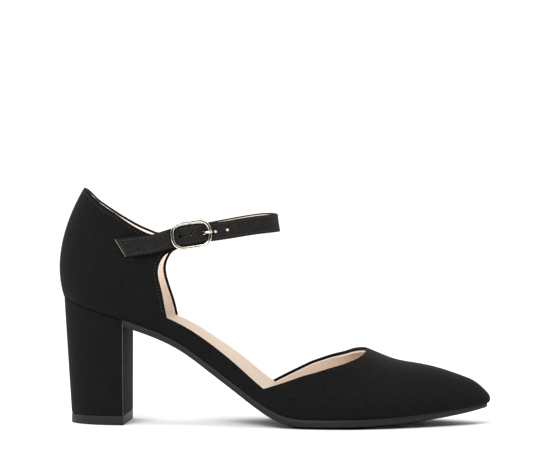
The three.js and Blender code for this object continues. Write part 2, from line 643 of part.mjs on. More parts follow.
// Tab: sewn to the quarter at its slanted back end, and a tunnel for the strap's tip ahead of it
const TAB_BACK = { high: place(0.143), low: place(0.1688) };
const TAB_LEAN = (Math.tan(BUCKLE_TILT) * TAB_WIDE) / 2; // its front end is parallel to the rim
const TAB_FRONT = PERCH - BUCKLE_RIM / 2 - GAP;
function buckleTab() {
  const rings = steps(0, 1, 16).map((s) => {
    const low = THREE.MathUtils.lerp(TAB_BACK.low, TAB_FRONT + TAB_LEAN, s);
    const high = THREE.MathUtils.lerp(TAB_BACK.high, TAB_FRONT - TAB_LEAN, s);
    const x = (low + high) / 2;
    const cover = (strapLift(x) + STRAP_THICK) * ease(x, STRAP_TIP - LOOP_CLIMB, LOOP_CLIMB * 0.75);
    return quarterRing(-1, [low, strapLine(low) - TAB_WIDE / 2], [high, strapLine(high) + TAB_WIDE / 2],
      GAP + cover, TAB_THICK);
  });
  return loft(rings);
}

function buckleLoop() {
  const tail = new THREE.Shape([[-EYE, 0.5], [-HALF_BUCKLE - BUCKLE_RIM / 2, 0.5],
    [-HALF_BUCKLE - BUCKLE_RIM / 2, -0.5], [-EYE, -0.5]]
    .map(([t, d]) => new THREE.Vector2(t, d * LOOP_THICK - BAR_DROP)));
  return geometryOf(acrossStrap(eye(EYE + LOOP_THICK, EYE), LOOP_WIDE)
    .add(acrossStrap(tail, LOOP_WIDE).subtract(acrossStrap(eye(EYE), LOOP_WIDE)))
    .subtract(prongSolid(GAP)));
}

function roundedOutline(outline, long, wide, radius) {
  const [x, y] = [long / 2 - radius, wide / 2 - radius];
  outline.absarc(x, y, radius, 0, Math.PI / 2).absarc(-x, y, radius, Math.PI / 2, Math.PI);
  return outline.absarc(-x, -y, radius, Math.PI, 1.5 * Math.PI).absarc(x, -y, radius, 1.5 * Math.PI, 2 * Math.PI);
}

const EDGE_BREAK = 0.4; // the rim's rounded edges
function buckleFrame() {
  const shape = roundedOutline(new THREE.Shape(), BUCKLE_LONG, BUCKLE_WIDE, BUCKLE_RADIUS);
  shape.holes.push(roundedOutline(new THREE.Path(), BUCKLE_LONG - 2 * BUCKLE_RIM,
    BUCKLE_WIDE - 2 * BUCKLE_RIM, BUCKLE_RADIUS - BUCKLE_RIM));
  const rim = new THREE.ExtrudeGeometry(shape, {
    depth: BUCKLE_THICK - 2 * EDGE_BREAK, bevelThickness: EDGE_BREAK, bevelSize: EDGE_BREAK,
    bevelOffset: -EDGE_BREAK, bevelSegments: 2, curveSegments: 5,
  }).translate(0, 0, EDGE_BREAK - BUCKLE_THICK / 2);
  const legAt = (BUCKLE_WIDE - BUCKLE_RIM) / 2;
  const bar = new THREE.CylinderGeometry(BAR / 2, BAR / 2, 2 * legAt, 10).translate(0, 0, -BAR_DROP);
  const legs = [-1, 1].map((sign) => new THREE.CylinderGeometry(BAR / 2, BAR / 2, BAR_DROP + BAR / 2, 10)
    .rotateX(Math.PI / 2).translate(0, sign * legAt, -(BAR_DROP + BAR / 2) / 2));
  const whole = [rim, bar, ...legs].map(solid).reduce((sum, next) => sum.add(next));
  const centre = onBuckle(0, 0);
  const [forward, up, outward] = [onBuckle(1, 0), onBuckle(0, 0, 1), onBuckle(0, 1)].map((p) => p.sub(centre));
  return geometryOf(whole).applyMatrix4(new THREE.Matrix4().makeBasis(forward, up, outward).setPosition(centre));
}

function piece(name, geometry, color, roughness, metalness = 0) {
  const flat = geometry.index ? geometry.toNonIndexed() : geometry;
  flat.computeVertexNormals();
  const mesh = new THREE.Mesh(flat, new THREE.MeshStandardMaterial({ color, roughness, metalness }));
  mesh.name = name;
  return mesh;
}

const shoe = new THREE.Group();
shoe.add(
  piece('upper', upper(), 0x262424, 0.85),
  piece('insole', insole(), 0xe3c9ae, 0.6),
  piece('outsole', outsole(), 0x3a3a3a, 0.6),
  piece('heel', heel(), 0x262424, 0.8),
  piece('heel_top_piece', heelTopPiece(), 0x303030, 0.7),
  piece('ankle_strap', ankleStrap(), 0x262424, 0.85),
  piece('buckle_tab', buckleTab(), 0x262424, 0.85),
  piece('buckle_loop', buckleLoop(), 0x262424, 0.85),
  piece('buckle_frame', buckleFrame(), 0xd8d4cc, 0.15, 1),
  piece('buckle_prong', geometryOf(prongSolid()), 0xd8d4cc, 0.15, 1),
);

export default shoe;
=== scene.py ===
"""A right-foot buckle pump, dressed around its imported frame. Metres, +X to the toe, +Z up."""
import math

import bmesh
import bpy
import numpy as np
from mathutils import Matrix, Vector
from mathutils.kdtree import KDTree


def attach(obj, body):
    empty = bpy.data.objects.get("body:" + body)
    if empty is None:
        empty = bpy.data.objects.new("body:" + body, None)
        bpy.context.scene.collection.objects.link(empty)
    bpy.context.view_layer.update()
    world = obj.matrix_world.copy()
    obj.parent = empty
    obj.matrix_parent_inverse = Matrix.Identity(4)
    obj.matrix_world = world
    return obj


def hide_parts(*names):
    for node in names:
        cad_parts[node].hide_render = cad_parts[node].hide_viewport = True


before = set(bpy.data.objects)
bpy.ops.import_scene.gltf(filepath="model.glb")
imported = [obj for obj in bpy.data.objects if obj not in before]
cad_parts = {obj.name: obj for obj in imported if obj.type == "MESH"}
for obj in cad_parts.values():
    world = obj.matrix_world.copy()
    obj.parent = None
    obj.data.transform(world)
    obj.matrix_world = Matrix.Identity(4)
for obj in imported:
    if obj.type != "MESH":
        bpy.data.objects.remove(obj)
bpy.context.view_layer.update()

# Quarter
# The back of the upper: counter, two wings and the low band that runs forward along the arch.
# Black microsuede over a thin lining, pulled down over the last and folded in round its edges.
LENGTH = 0.2384
HEEL_HEIGHT = 0.070
COUNTER = 0.0597
VAMP = 0.0406
SEAT, WAIST, BALL = 0.046, 0.040, 0.075
TREAD, TOE_SPRING = 0.0056, 0.0061
COUNTER_BACK = 0.02245  # counter behind the middle of the heel's ground face
COUNTER_SWELL = 0.0026
WALL = 0.0018
LINING = 0.0005
TURN_IN = 0.0011  # black fabric that shows inside the edge
FOLD = 0.00055  # radius of a folded edge
TINY = 1e-6


def table(columns, *rows):
    """Rows of shares as one array for each column."""
    return dict(zip(columns.split(), np.array(rows, float).T))


def place(at):
    """x of a share of the shoe's length, from the back of the counter."""
    return np.asarray(at) * LENGTH - COUNTER_BACK


def spline(xs, ys):
    """Natural cubic spline."""
    gap = np.diff(xs)
    system = np.eye(len(xs))
    turn = np.zeros(len(xs))
    for i in range(1, len(xs) - 1):
        system[i, i - 1:i + 2] = gap[i - 1], 2 * (gap[i - 1] + gap[i]), gap[i]
        turn[i] = 6 * ((ys[i + 1] - ys[i]) / gap[i] - (ys[i] - ys[i - 1]) / gap[i - 1])
    bend = np.linalg.solve(system, turn)

    def value(x):
        x = np.asarray(x, float)
        i = np.clip(np.searchsorted(xs, x) - 1, 0, len(xs) - 2)
        a, b = (xs[i + 1] - x) / gap[i], (x - xs[i]) / gap[i]
        curve = (a ** 3 - a) * bend[i] + (b ** 3 - b) * bend[i + 1]
        return a * ys[i] + b * ys[i + 1] + curve * gap[i] ** 2 / 6

    return value


# Feather edge of the last. half: half width as a share of `of`. swing: share of BALL.
# rise: share of the climb from ball to seat. spring: share of TOE_SPRING.
FEATHER = table(
    "at of half swing rise spring",
    (0.01, SEAT, 0, 0, 1, 0),
    (0.043, SEAT, 0.317, 0, 0.953, 0),
    (0.081, SEAT, 0.44, 0, 0.904, 0),
    (0.128, SEAT, 0.498, -0.003, 0.852, 0),
    (0.178, SEAT, 0.5, -0.011, 0.792, 0),
    (0.238, WAIST, 0.535, -0.024, 0.711, 0),
    (0.297, WAIST, 0.5, -0.035, 0.599, 0),
    (0.356, WAIST, 0.525, -0.039, 0.444, 0),
    (0.415, BALL, 0.324, -0.039, 0.286, 0),
    (0.474, BALL, 0.381, -0.035, 0.134, 0),
    (0.533, BALL, 0.439, -0.029, 0.025, 0),
    (0.592, BALL, 0.48, -0.024, 0, 0),
    (0.668, BALL, 0.5, -0.012, 0, 0.02),
    (0.744, BALL, 0.469, 0.007, 0, 0.11),
    (0.82, BALL, 0.389, 0.029, 0, 0.31),
    (0.896, BALL, 0.272, 0.048, 0, 0.57),
    (0.955, BALL, 0.15, 0.059, 0, 0.81),
    (0.992, BALL, 0, 0.064, 0, 1),
)
feather_x = place(FEATHER["at"])
BACK, TOE = feather_x[0], feather_x[-1]
half_squared = spline(feather_x, (FEATHER["half"] * FEATHER["of"]) ** 2)
middle = spline(feather_x, FEATHER["swing"] * BALL)
climb = FEATHER["rise"] * (HEEL_HEIGHT - TREAD)
rise = spline(feather_x, TREAD + climb + FEATHER["spring"] * TOE_SPRING)

# Ridge of the last, from over the seat to the toe
LEG = HEEL_HEIGHT + COUNTER
RIDGE = table(
    "at of height across",
    (0.347, LEG, 1.195, 0),
    (0.432, LEG, 0.92, 0.003),
    (0.516, LEG, 0.67, 0.008),
    (0.6, LEG, 0.478, 0.016),
    (0.662, VAMP, 1.15, 0.024),
    (0.7173, VAMP, 1, 0.03),
    (0.776, VAMP, 0.863, 0.039),
    (0.834, VAMP, 0.799, 0.048),
    (0.885, VAMP, 0.73, 0.056),
    (0.943, VAMP, 0.615, 0.063),
)
ridge_x = place(RIDGE["at"])
ridge = spline(ridge_x, RIDGE["height"] * RIDGE["of"])
across = spline(ridge_x, RIDGE["across"] * BALL)

# Section of each rib. square: how full its corner is. pinch: how the ankle narrows.
# bulge: share of COUNTER_SWELL. reach: share of COUNTER over which the bulge dies out.
SECTION = table(
    "at square pinch bulge reach",
    (0.01, 2.9, 0.12, 1, 0.97),
    (0.1, 2.8, 0.12, 0.96, 0.94),
    (0.2, 2.6, 0.11, 0.88, 0.84),
    (0.3, 2.3, 0.06, 0.62, 0.7),
    (0.44, 2.1, 0, 0.46, 0.5),
    (0.6, 2.05, 0, 0.62, 0.4),
    (0.8, 2.15, 0, 0.69, 0.3),
    (0.9, 2.3, 0, 0.6, 0.23),
    (0.992, 2.4, 0, 0.5, 0.2),
)
section_x = place(SECTION["at"])
square, pinch, bulge, reach = [
    spline(section_x, SECTION[name] * size)
    for name, size in (("square", 1), ("pinch", 1), ("bulge", COUNTER_SWELL), ("reach", COUNTER))
]
LEAN_BACK, LEAN_TOE = place(0.516), place(0.77)


def ridge_slope(x):
    return (ridge(x + TINY) - ridge(x - TINY)) / (2 * TINY)


def lean(x):
    """Where the rib that starts at x on the feather edge meets the ridge: the end ribs lean in."""
    back = np.clip((LEAN_BACK - x) / (LEAN_BACK - BACK), 0, 1)
    toe = np.clip((x - LEAN_TOE) / (TOE - LEAN_TOE), 0, 1)
    return x + (ridge_x[0] - BACK) * back ** 2 - (TOE - ridge_x[-1]) * toe ** 2


def feather(u):
    """u runs round the feather edge: 0 at the back, 1 or -1 at the toe, positive on the inner side."""
    x = BACK + (TOE - BACK) * (1 - np.cos(np.pi * u)) / 2
    half = np.sqrt(np.maximum(half_squared(x), 0))
    return x, middle(x) + np.sign(np.sin(np.pi * u)) * half, rise(x)


def along(at):
    """u of a share of the shoe's length."""
    return np.arccos(1 - 2 * (place(at) - BACK) / (TOE - BACK)) / np.pi


def rib(u, v):
    """v runs up a rib of the last: 0 on the feather edge, 1 on the ridge."""
    u, v = np.broadcast_arrays(np.asarray(u, float), np.asarray(v, float))
    step = 1e-4
    x, y, z = feather(u)
    x0, y0, _ = feather(u - step)
    x1, y1, _ = feather(u + step)
    run = np.hypot(x1 - x0, y1 - y0)
    power = square(x)
    cos, sin = np.cos(v * np.pi / 2), np.sin(v * np.pi / 2)
    size = (np.abs(cos) ** power + np.abs(sin) ** power) ** (-1 / power)
    spread, lift = cos * size, sin * size
    top = lean(x)
    height = lift * (ridge(top) - z)
    t = np.minimum(height / reach(x), 1)
    swell = bulge(x) * 6.75 * t * (1 - t) ** 2  # 6.75 makes its peak 1
    narrow = spread * (1 - pinch(x) * lift * lift)
    return np.stack([
        top + (x - top) * spread - (y1 - y0) / run * swell,
        across(top) + (y - across(top)) * narrow + (x1 - x0) / run * swell,
        z + height + ridge_slope(top) * np.maximum(x - top, 0) * spread * lift,
    ], -1)


def unit(vectors):
    """The same directions at length 1."""
    return vectors / np.linalg.norm(vectors, axis=-1, keepdims=True)


def skin(u, v, out=0.0):
    """Points of the last's surface moved outward, and the surface's normals."""
    u, v = np.broadcast_arrays(np.asarray(u, float), np.asarray(v, float))
    step = 1e-3
    up = rib(u, np.minimum(v + step, 1)) - rib(u, np.maximum(v - step, 0))
    around = rib(u + step, v) - rib(u - step, v)
    normals = np.cross(up, around)
    slope = ridge_slope(lean(feather(u)[0]))
    crown = np.stack([-slope, np.zeros_like(slope), np.ones_like(slope)], -1)
    normals = unit(np.where((v > 1 - step)[..., None], crown, normals))
    points = rib(u, v) + normals * out
    points[..., 2] = np.where(v <= 0, feather(u)[2], points[..., 2])
    return points, normals


def curve_through(points, count):
    """Catmull-Rom curve through a few points, `count` steps to each stretch."""
    points = np.asarray(points, float)
    padded = np.vstack([2 * points[0] - points[1], points, 2 * points[-1] - points[-2]])
    t = np.linspace(0, 1, count, endpoint=False)[:, None]
    stretches = [
        ((-t + 2 * t * t - t ** 3) * a + (2 - 5 * t * t + 3 * t ** 3) * b
         + (t + 4 * t * t - 3 * t ** 3) * c + (t ** 3 - t * t) * d) / 2
        for a, b, c, d in zip(padded, padded[1:], padded[2:], padded[3:])
    ]
    return np.vstack([*stretches, points[-1:]])


def run_of(points):
    """How far along a line each of its points lies."""
    return np.concatenate([[0], np.cumsum(np.linalg.norm(np.diff(points, axis=0), axis=1))])


def evenly(points, count):
    """The same line in `count` even steps."""
    points = np.asarray(points, float)
    run = run_of(points)
    steps = np.linspace(0, run[-1], count + 1)
    return np.stack([np.interp(steps, run, column) for column in points.T], -1)


def slopes(u, v):
    """Points of the surface, and how fast they move with u and with v."""
    step = 1e-5
    here = rib(u, v)
    return here, (rib(u + step, v) - here) / step, (rib(u, v + step) - here) / step


def on_last(outline, side, inward=0.0):
    """(u, v) of an outline of (at, round) shares, drawn in towards the fabric on its right hand.

    The right hand is seen from outside the shoe, on the outer side, as the outline runs."""
    u, v = side * along(outline[:, 0]), outline[:, 1]
    if not inward:
        return np.stack([u, v], -1)
    points, normals = skin(u, v)
    run = np.gradient(points, axis=0)
    if outline[0, 0] <= FEATHER["at"][0]:
        run[0] = (0, side, 0)
    move = unit(np.cross(normals, run)) * inward * side
    _, du, dv = slopes(u, v)
    uu, uv, vv = [np.sum(a * b, -1) for a, b in ((du, du), (du, dv), (dv, dv))]
    mu, mv = np.sum(du * move, -1), np.sum(dv * move, -1)
    det = uu * vv - uv * uv
    moved = np.stack([u + (mu * vv - mv * uv) / det, v + (mv * uu - mu * uv) / det], -1)
    if outline[0, 0] <= FEATHER["at"][0]:
        moved[0, 0] = 0
    return moved


def between(low, high, shares):
    """Grid of rows from one line of points to another."""
    shares = np.asarray(shares)[:, None, None]
    return low[None] * (1 - shares) + high[None] * shares


def placed(name, data, material, smooth=True):
    """A mesh as a piece in the scene."""
    data.materials.append(material)
    data.polygons.foreach_set("use_smooth", [smooth] * len(data.polygons))
    data.update()
    piece = bpy.data.objects.new(name, data)
    bpy.context.collection.objects.link(piece)
    return piece


def mesh_object(name, vertices, faces, material, smooth=True):
    data = bpy.data.meshes.new(name)
    data.from_pydata([tuple(v) for v in vertices], [], [tuple(f) for f in faces])
    return placed(name, data, material, smooth)


def lasted(name, grids, outer, inner, material, fold=FOLD):
    """A closed sheet between two offsets of the last's surface, its free edges rounded.

    grids are arrays of (u, v) that share their edges."""
    spots = np.vstack([grid.reshape(-1, 2) for grid in grids])
    over, normals = skin(spots[:, 0], spots[:, 1], outer)
    under = skin(spots[:, 0], spots[:, 1], inner)[0]
    tree = KDTree(len(over))
    for i, point in enumerate(over):
        tree.insert(point, i)
    tree.balance()
    first = [min(i for _, i, _ in tree.find_range(point, 3 * TINY)) for point in over]
    faces, start = [], 0
    for grid in grids:
        rows, columns = grid.shape[:2]
        index = np.arange(rows * columns).reshape(rows, columns) + start
        start += rows * columns
        for r in range(rows - 1):
            for c in range(columns - 1):
                around = (index[r, c], index[r, c + 1], index[r + 1, c + 1], index[r + 1, c])
                ring = [first[i] for i in around]
                face = list(dict.fromkeys(ring))
                if len(face) < 3:
                    continue
                a, b, d = over[face[0]], over[face[1]], over[face[-1]]
                if np.dot(np.cross(b - a, d - a), normals[face[0]]) < 0:
                    face.reverse()
                faces.append(face)
    used = {(a, b) for face in faces for a, b in zip(face, face[1:] + face[:1])}
    edges = [(a, b) for a, b in used if (b, a) not in used]
    count = len(over)
    closed = faces + [[i + count for i in reversed(face)] for face in faces]
    closed += [[b, a, a + count, b + count] for a, b in edges]
    piece = mesh_object(name, np.vstack([over, under]), closed, material)
    mesh = bmesh.new()
    mesh.from_mesh(piece.data)
    mesh.verts.ensure_lookup_table()
    free = [(a, b) for a, b in edges if min(spots[a, 1], spots[b, 1]) > TINY]
    rims = [mesh.edges.get((mesh.verts[a + k], mesh.verts[b + k])) for a, b in free for k in (0, count)]
    if fold:
        bmesh.ops.bevel(mesh, geom=[e for e in rims if e], offset=fold, segments=4, profile=0.5,
                        affect="EDGES", clamp_overlap=True)
    bmesh.ops.delete(mesh, geom=[v for v in mesh.verts if not v.link_faces], context="VERTS")
    mesh.to_mesh(piece.data)
    mesh.free()
    piece.data.polygons.foreach_set("use_smooth", [True] * len(piece.data.polygons))
    return piece


# Edges of the upper, as shares of the shoe's length and of the way up the rib. The columns outer and
# inner hold the other share for the two sides of the foot.
COLLAR = table(
    "at outer inner",
    (0.01, 0.438, 0.438),
    (0.0165, 0.434, 0.431),
    (0.0385, 0.41, 0.4),
    (0.059, 0.387, 0.374),
    (0.093, 0.356, 0.3435),
    (0.1235, 0.336, 0.322),
    (0.161, 0.3135, 0.3045),
    (0.192, 0.3028, 0.299),
    (0.2183, 0.302, 0.301),
    (0.2465, 0.321, 0.322),
    (0.2629, 0.34, 0.34),
    (0.275, 0.351, 0.351),
)
QUARTER_FRONT = table(
    "round outer inner",
    (0.317, 0.2833, 0.2829),
    (0.292, 0.2745, 0.272),
    (0.263, 0.2555, 0.253),
    (0.235, 0.2448, 0.2425),
    (0.203, 0.239, 0.2362),
    (0.175, 0.241, 0.2379),
    (0.143, 0.2486, 0.2457),
    (0.107, 0.2548, 0.2566),
    (0.066, 0.261, 0.2655),
)
BAND_TOP = table(
    "at outer inner",
    (0.2617, 0.061, 0.057),
    (0.2893, 0.0645, 0.058),
    (0.334, 0.072, 0.063),
    (0.3717, 0.0765, 0.067),
    (0.4241, 0.0765, 0.067),
    (0.4838, 0.069, 0.062),
    (0.51, 0.066, 0.06),
)
STEPS = 12  # of each stretch of an outline
CORNER_EASE = 0.3  # how far a lining keeps back from the corner of the wing


def outline_of(rows, side):
    """(at, round) of an edge on one side."""
    own = rows["outer" if side < 0 else "inner"]
    return np.stack([own, rows["round"]] if "round" in rows else [rows["at"], own], -1)


def quarter_grids(side, inward=0.0):
    """The quarter of one side: the counter, the wing over its front's waist, and the band under it."""
    front, band = outline_of(QUARTER_FRONT, side), outline_of(BAND_TOP, side)
    band[0, 0] = max(band[0, 0], front[-1, 0] + 0.001)
    front = np.vstack([front, band[:1]])
    collar = on_last(curve_through(outline_of(COLLAR, side), STEPS), side, inward)
    edge = on_last(curve_through(front, STEPS), side, inward)
    top = on_last(curve_through(band, STEPS), side, inward)
    if side * edge[-1, 0] > side * top[0, 0]:
        edge[-1] = top[0]
    waist = np.argmin(side * edge[:, 0])
    over, under = edge[waist::-1], edge[waist:]
    meet = edge[waist]
    if inward:
        corner = np.linalg.norm(skin(*collar[-1])[0] - skin(*over[-1])[0])
        collar[-1] -= (collar[-1] - over[-1]) * CORNER_EASE * inward / corner
    us = np.linspace(0, meet[0], 41)
    low, high = np.linspace(0, 1, 10), np.linspace(0, 1, 18)
    base = np.stack([us, np.zeros_like(us)], -1)
    split = np.stack([us, np.full_like(us, meet[1])], -1)
    collar_v = np.interp(side * us, side * collar[:, 0], collar[:, 1])
    head = np.stack([us, collar_v], -1)
    counter = [between(base, split, low), between(split, head, high)]
    ahead = np.vstack([head[-1:], collar[side * collar[:, 0] > side * meet[0]]])
    wing = between(evenly(over, 14), evenly(ahead, 14), high)
    under = evenly(under, 16)
    foot = np.stack([np.linspace(meet[0], under[-1, 0], 17), np.zeros(17)], -1)
    lower = between(foot, under, low)
    line = np.vstack([under[-1:], evenly(top, 50)[1:]])
    band_foot = np.stack([line[:, 0], np.zeros(len(line))], -1)
    return [*counter, wing, lower, between(band_foot, line, low)]


class Tone:
    """A socket of a node tree. Sums, differences and products of tones add Math nodes."""

    def __init__(self, tree, socket=None):
        self.tree, self.socket = tree, socket

    def node(self, kind, settings, inputs, output=0):
        """A new node: its settings first, then the values or links of its sockets."""
        made = self.tree.nodes.new("ShaderNode" + kind)
        for name, value in settings.items():
            setattr(made, name, value)
        for name, value in inputs.items():
            if isinstance(value, Tone):
                self.tree.links.new(value.socket, made.inputs[name])
            else:
                made.inputs[name].default_value = value
        return Tone(self.tree, made.outputs[output])

    def math(self, operation, first, second, clamp=False):
        return self.node("Math", {"operation": operation, "use_clamp": clamp}, {0: first, 1: second})

    def __add__(self, other):
        return self.math("ADD", self, other)

    def __sub__(self, other):
        return self.math("SUBTRACT", self, other)

    def __rsub__(self, other):
        return self.math("SUBTRACT", other, self)

    def __mul__(self, other):
        return self.math("MULTIPLY", self, other)

    __radd__, __rmul__ = __add__, __mul__

    def clamped(self):
        """The same, held between 0 and 1."""
        return self.math("MULTIPLY", self, 1.0, clamp=True)

    def noise(self, scale, detail=3.0, rough=0.5, stretch=(1, 1, 1)):
        """Noise in the shoe's own space, in waves per metre, from 0 to 1."""
        place_of = self.node("TexCoord", {}, {}, "Object")
        mapped = self.node("Mapping", {}, {"Vector": place_of, "Scale": stretch})
        inputs = {"Vector": mapped, "Scale": scale, "Detail": detail, "Roughness": rough}
        return self.node("TexNoise", {}, inputs)

    def mix(self, low, high, share):
        """From one colour to another."""
        return self.node("Mix", {"data_type": "RGBA"}, {0: share, 6: (*low, 1), 7: (*high, 1)}, 2)

    def bump(self, height, depth, strength, normal=None):
        """Relief of a depth in metres, laid over another where one is given."""
        inputs = {"Height": height, "Distance": depth, "Strength": strength}
        if normal:
            inputs["Normal"] = normal
        return self.node("Bump", {}, inputs)


def finish_of(name, recipe, **constants):
    """A material whose recipe gives the sockets that vary. The rest are set on the shader itself."""
    material = bpy.data.materials.new(name)
    material.use_nodes = True
    shader = material.node_tree.nodes["Principled BSDF"]
    for socket, value in constants.items():
        shader.inputs[socket.replace("_", " ")].default_value = value
    for socket, tone in recipe(Tone(material.node_tree)).items():
        material.node_tree.links.new(tone.socket, shader.inputs[socket])
    return material


UPPER_BLACK = ((0.0018, 0.0018, 0.0018), (0.0122, 0.012, 0.0118))


def microsuede(name, shades):
    """A short even nap: fine pricks of light and dark, and faint brushed clouds."""

    def recipe(tone):
        nap = tone.noise(5200, 2, 0.6)
        grain = tone.noise(1300, 3, 0.7)
        brushed = tone.noise(75, 3, 0.5)
        fleck = (grain * 2.2 + nap * 0.5 - 1.05) * (0.65 + 0.5 * brushed)
        coarse = tone.bump(brushed, 0.0003, 0.25)
        return {
            "Base Color": tone.mix(*shades, fleck.clamped()),
            "Roughness": 0.86 + 0.1 * grain,
            "Normal": tone.bump(grain + nap * 0.6, 0.00012, 0.55, coarse),
        }

    return finish_of(name, recipe, Specular_IOR_Level=0.09, Sheen_Weight=0.015, Sheen_Roughness=0.5)


SHELL = WALL - LINING
upper_suede = microsuede("microsuede", UPPER_BLACK)
quarter = lasted("quarter", quarter_grids(-1) + quarter_grids(1), 0, -SHELL, upper_suede)
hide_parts("upper")
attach(quarter, "root")

# Quarter lining
# A thin beige sheet of soft leather, glued inside the quarter.
# It is cut back from the folded edge, so that a narrow black border shows round it.
QUARTER_BEIGE = ((0.8, 0.66, 0.575), (0.95, 0.83, 0.745))


def soft_leather(name, shades):
    """Fine pores in a soft, slightly cloudy beige."""

    def recipe(tone):
        pores = tone.noise(2600, 2, 0.6)
        cloud = tone.noise(60, 3, 0.5)
        return {
            "Base Color": tone.mix(*shades, 0.35 * pores + 0.75 * cloud),
            "Roughness": 0.5 + 0.14 * pores,
            "Normal": tone.bump(pores, 0.00008, 0.4, tone.bump(cloud, 0.0006, 0.2)),
        }

    return finish_of(name, recipe, Specular_IOR_Level=0.35)


lining_leather = soft_leather("lining_leather", QUARTER_BEIGE)
quarter_lining = lasted(
    "quarter_lining", quarter_grids(-1, TURN_IN) + quarter_grids(1, TURN_IN),
    -SHELL + LINING / 4, -WALL, lining_leather, fold=LINING / 3,
)
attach(quarter_lining, "root")

# Vamp
# The front of the upper, from its lobes under the arch over the ball to the pointed toe.
# It lies over the ends of the band, and its top line is folded like the quarter's.
VAMP_STEP = 0.0008
VAMP_LOBE = table(
    "at outer inner",
    (0.438, 0, 0),
    (0.442, 0.011, 0.011),
    (0.4615, 0.037, 0.037),
)
VAMP_TOP = table(
    "at outer inner",
    (0.4908, 0.075, 0.073),
    (0.53, 0.147, 0.161),
    (0.5685, 0.22, 0.25),
    (0.6105, 0.31, 0.362),
    (0.6525, 0.445, 0.527),
    (0.683, 0.566, 0.7),
    (0.7, 0.655, 0.81),
    (0.7115, 0.775, 0.9),
    (0.7173, 1, 1),
)


def vamp_line(side):
    """Lobe and top line of one side, up to the middle of the throat."""
    lobe, top = outline_of(VAMP_LOBE, side), outline_of(VAMP_TOP, side)
    back = curve_through(np.vstack([lobe, top[:1]]), STEPS)
    return np.vstack([back[:-1], curve_through(top, STEPS)])


def vamp_grids(side, inward=0.0, start=0.0):
    """The vamp of one side from a share of the length: up to the top line, and ahead of it."""
    line = on_last(vamp_line(side), side, inward)
    line[:, 1] = np.clip(line[:, 1], 0, 1)
    line[-1, 1] = 1
    if start:
        line = line[side * line[:, 0] > along(start)]
    top = evenly(line, 60)
    foot = np.stack([np.linspace(top[0, 0], top[-1, 0], 61), np.zeros(61)], -1)
    rows = np.linspace(0, 1, 27)
    ahead = np.linspace(top[-1, 0], side, 45)
    ends = [np.stack([ahead, np.full(45, share)], -1) for share in (0.0, 1.0)]
    return [between(foot, top, rows), between(*ends, rows)]


vamp = lasted("vamp", vamp_grids(-1) + vamp_grids(1), VAMP_STEP, VAMP_STEP - SHELL, upper_suede)
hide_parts("upper")
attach(vamp, "root")

# Vamp lining
# The same leather, glued inside the vamp, its beige darkened: painted shade for the shadow inside the vamp.
# It starts ahead of the lobes and is cut back from the folded top line.
VAMP_TURN, VAMP_LINING_BACK = 0.0014, 0.488
# The lining beige darkened as painted shade
SHADED_BEIGE = ((0.6, 0.48, 0.4), (0.76, 0.64, 0.55))
leather_painted_shade = soft_leather("leather_painted_shade", SHADED_BEIGE)
vamp_lining = lasted(
    "vamp_lining",
    vamp_grids(-1, VAMP_TURN, VAMP_LINING_BACK) + vamp_grids(1, VAMP_TURN, VAMP_LINING_BACK),
    VAMP_STEP - SHELL + LINING / 4, -WALL, leather_painted_shade, fold=LINING / 3,
)
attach(vamp_lining, "root")

# Insole
# Insole board with a thin cushion and a peach-beige leather top, laid inside the lasted upper.
# It is dished along the middle and rounded down to the wall at its edge.
INSOLE = 0.009  # thickness at the arch
CLEARANCE = 0.0003
DISH, DISH_FROM, DISH_WIDE = 0.0011, 0.002, 0.018  # depth, and where it starts from the wall
INSOLE_EDGE = 0.0009
INSOLE_UNDER = 0.0002  # underside over the feather edge
INSOLE_ENDS = 0.012, 0.985  # its ends at heel and toe, as u
PADDING = table(
    "at thick arch",
    (0.01, 0.66, 0),
    (0.18, 0.8, 0.02),
    (0.26, 0.98, 0.14),
    (0.33, 1.13, 0.24),
    (0.42, 1.09, 0.27),
    (0.48, 0.86, 0.2),
    (0.55, 0.66, 0.08),
    (0.68, 0.55, 0),
    (0.85, 0.45, 0),
    (0.992, 0.38, 0),
)
padding = spline(place(PADDING["at"]), PADDING["thick"] * INSOLE)
arch = spline(place(PADDING["at"]), PADDING["arch"] * INSOLE / (WAIST / 2))


def round_of(x, u, height):
    """v of the spot at a height over the feather edge, on the rib at u."""
    top = lean(x)
    lift = np.clip(height / (ridge(top) - rise(x)), 0, 0.999)
    power = square(x)
    return np.arctan2(lift, (1 - lift ** power) ** (1 / power)) / (np.pi / 2)


def insole_faces():
    """Top and underside as rows from heel to toe, each straight across from wall to wall."""
    us = np.linspace(*INSOLE_ENDS, 120)
    shares = (1 - np.cos(np.linspace(0, np.pi, 41))) / 2
    x = feather(us)[0]
    climb_in = np.maximum(arch(x), 0)
    heights = [padding(x), padding(x) + climb_in * (np.sqrt(half_squared(x)) - WALL)]
    walls = [skin(s * us, round_of(x, us, high - INSOLE_EDGE), -WALL - CLEARANCE / 2)[0]
             for s, high in zip((-1, 1), heights)]
    feet = [skin(s * us, round_of(x, us, 0 * x) + 0.004, -WALL - CLEARANCE / 2)[0] for s in (-1, 1)]
    spread = shares[None, :, None]
    top = walls[0][:, None] * (1 - spread) + walls[1][:, None] * spread
    inside = np.minimum(shares, 1 - shares) * np.linalg.norm(walls[1] - walls[0], axis=1)[:, None]
    edge = np.clip(inside / (2.2 * INSOLE_EDGE), 0, 1)
    shoulder = INSOLE_EDGE * (1 - np.sqrt(1 - (1 - edge) ** 2))
    dish = DISH * np.clip((inside - DISH_FROM) / DISH_WIDE, 0, 1) ** 1.3
    aside = np.maximum(top[..., 1] - middle(x)[:, None], 0)
    top[..., 2] = (rise(x) + padding(x))[:, None] + climb_in[:, None] * aside - shoulder - dish
    under = feet[0][:, None] * (1 - spread) + feet[1][:, None] * spread
    under[..., 2] = rise(x)[:, None] + INSOLE_UNDER
    return top, under


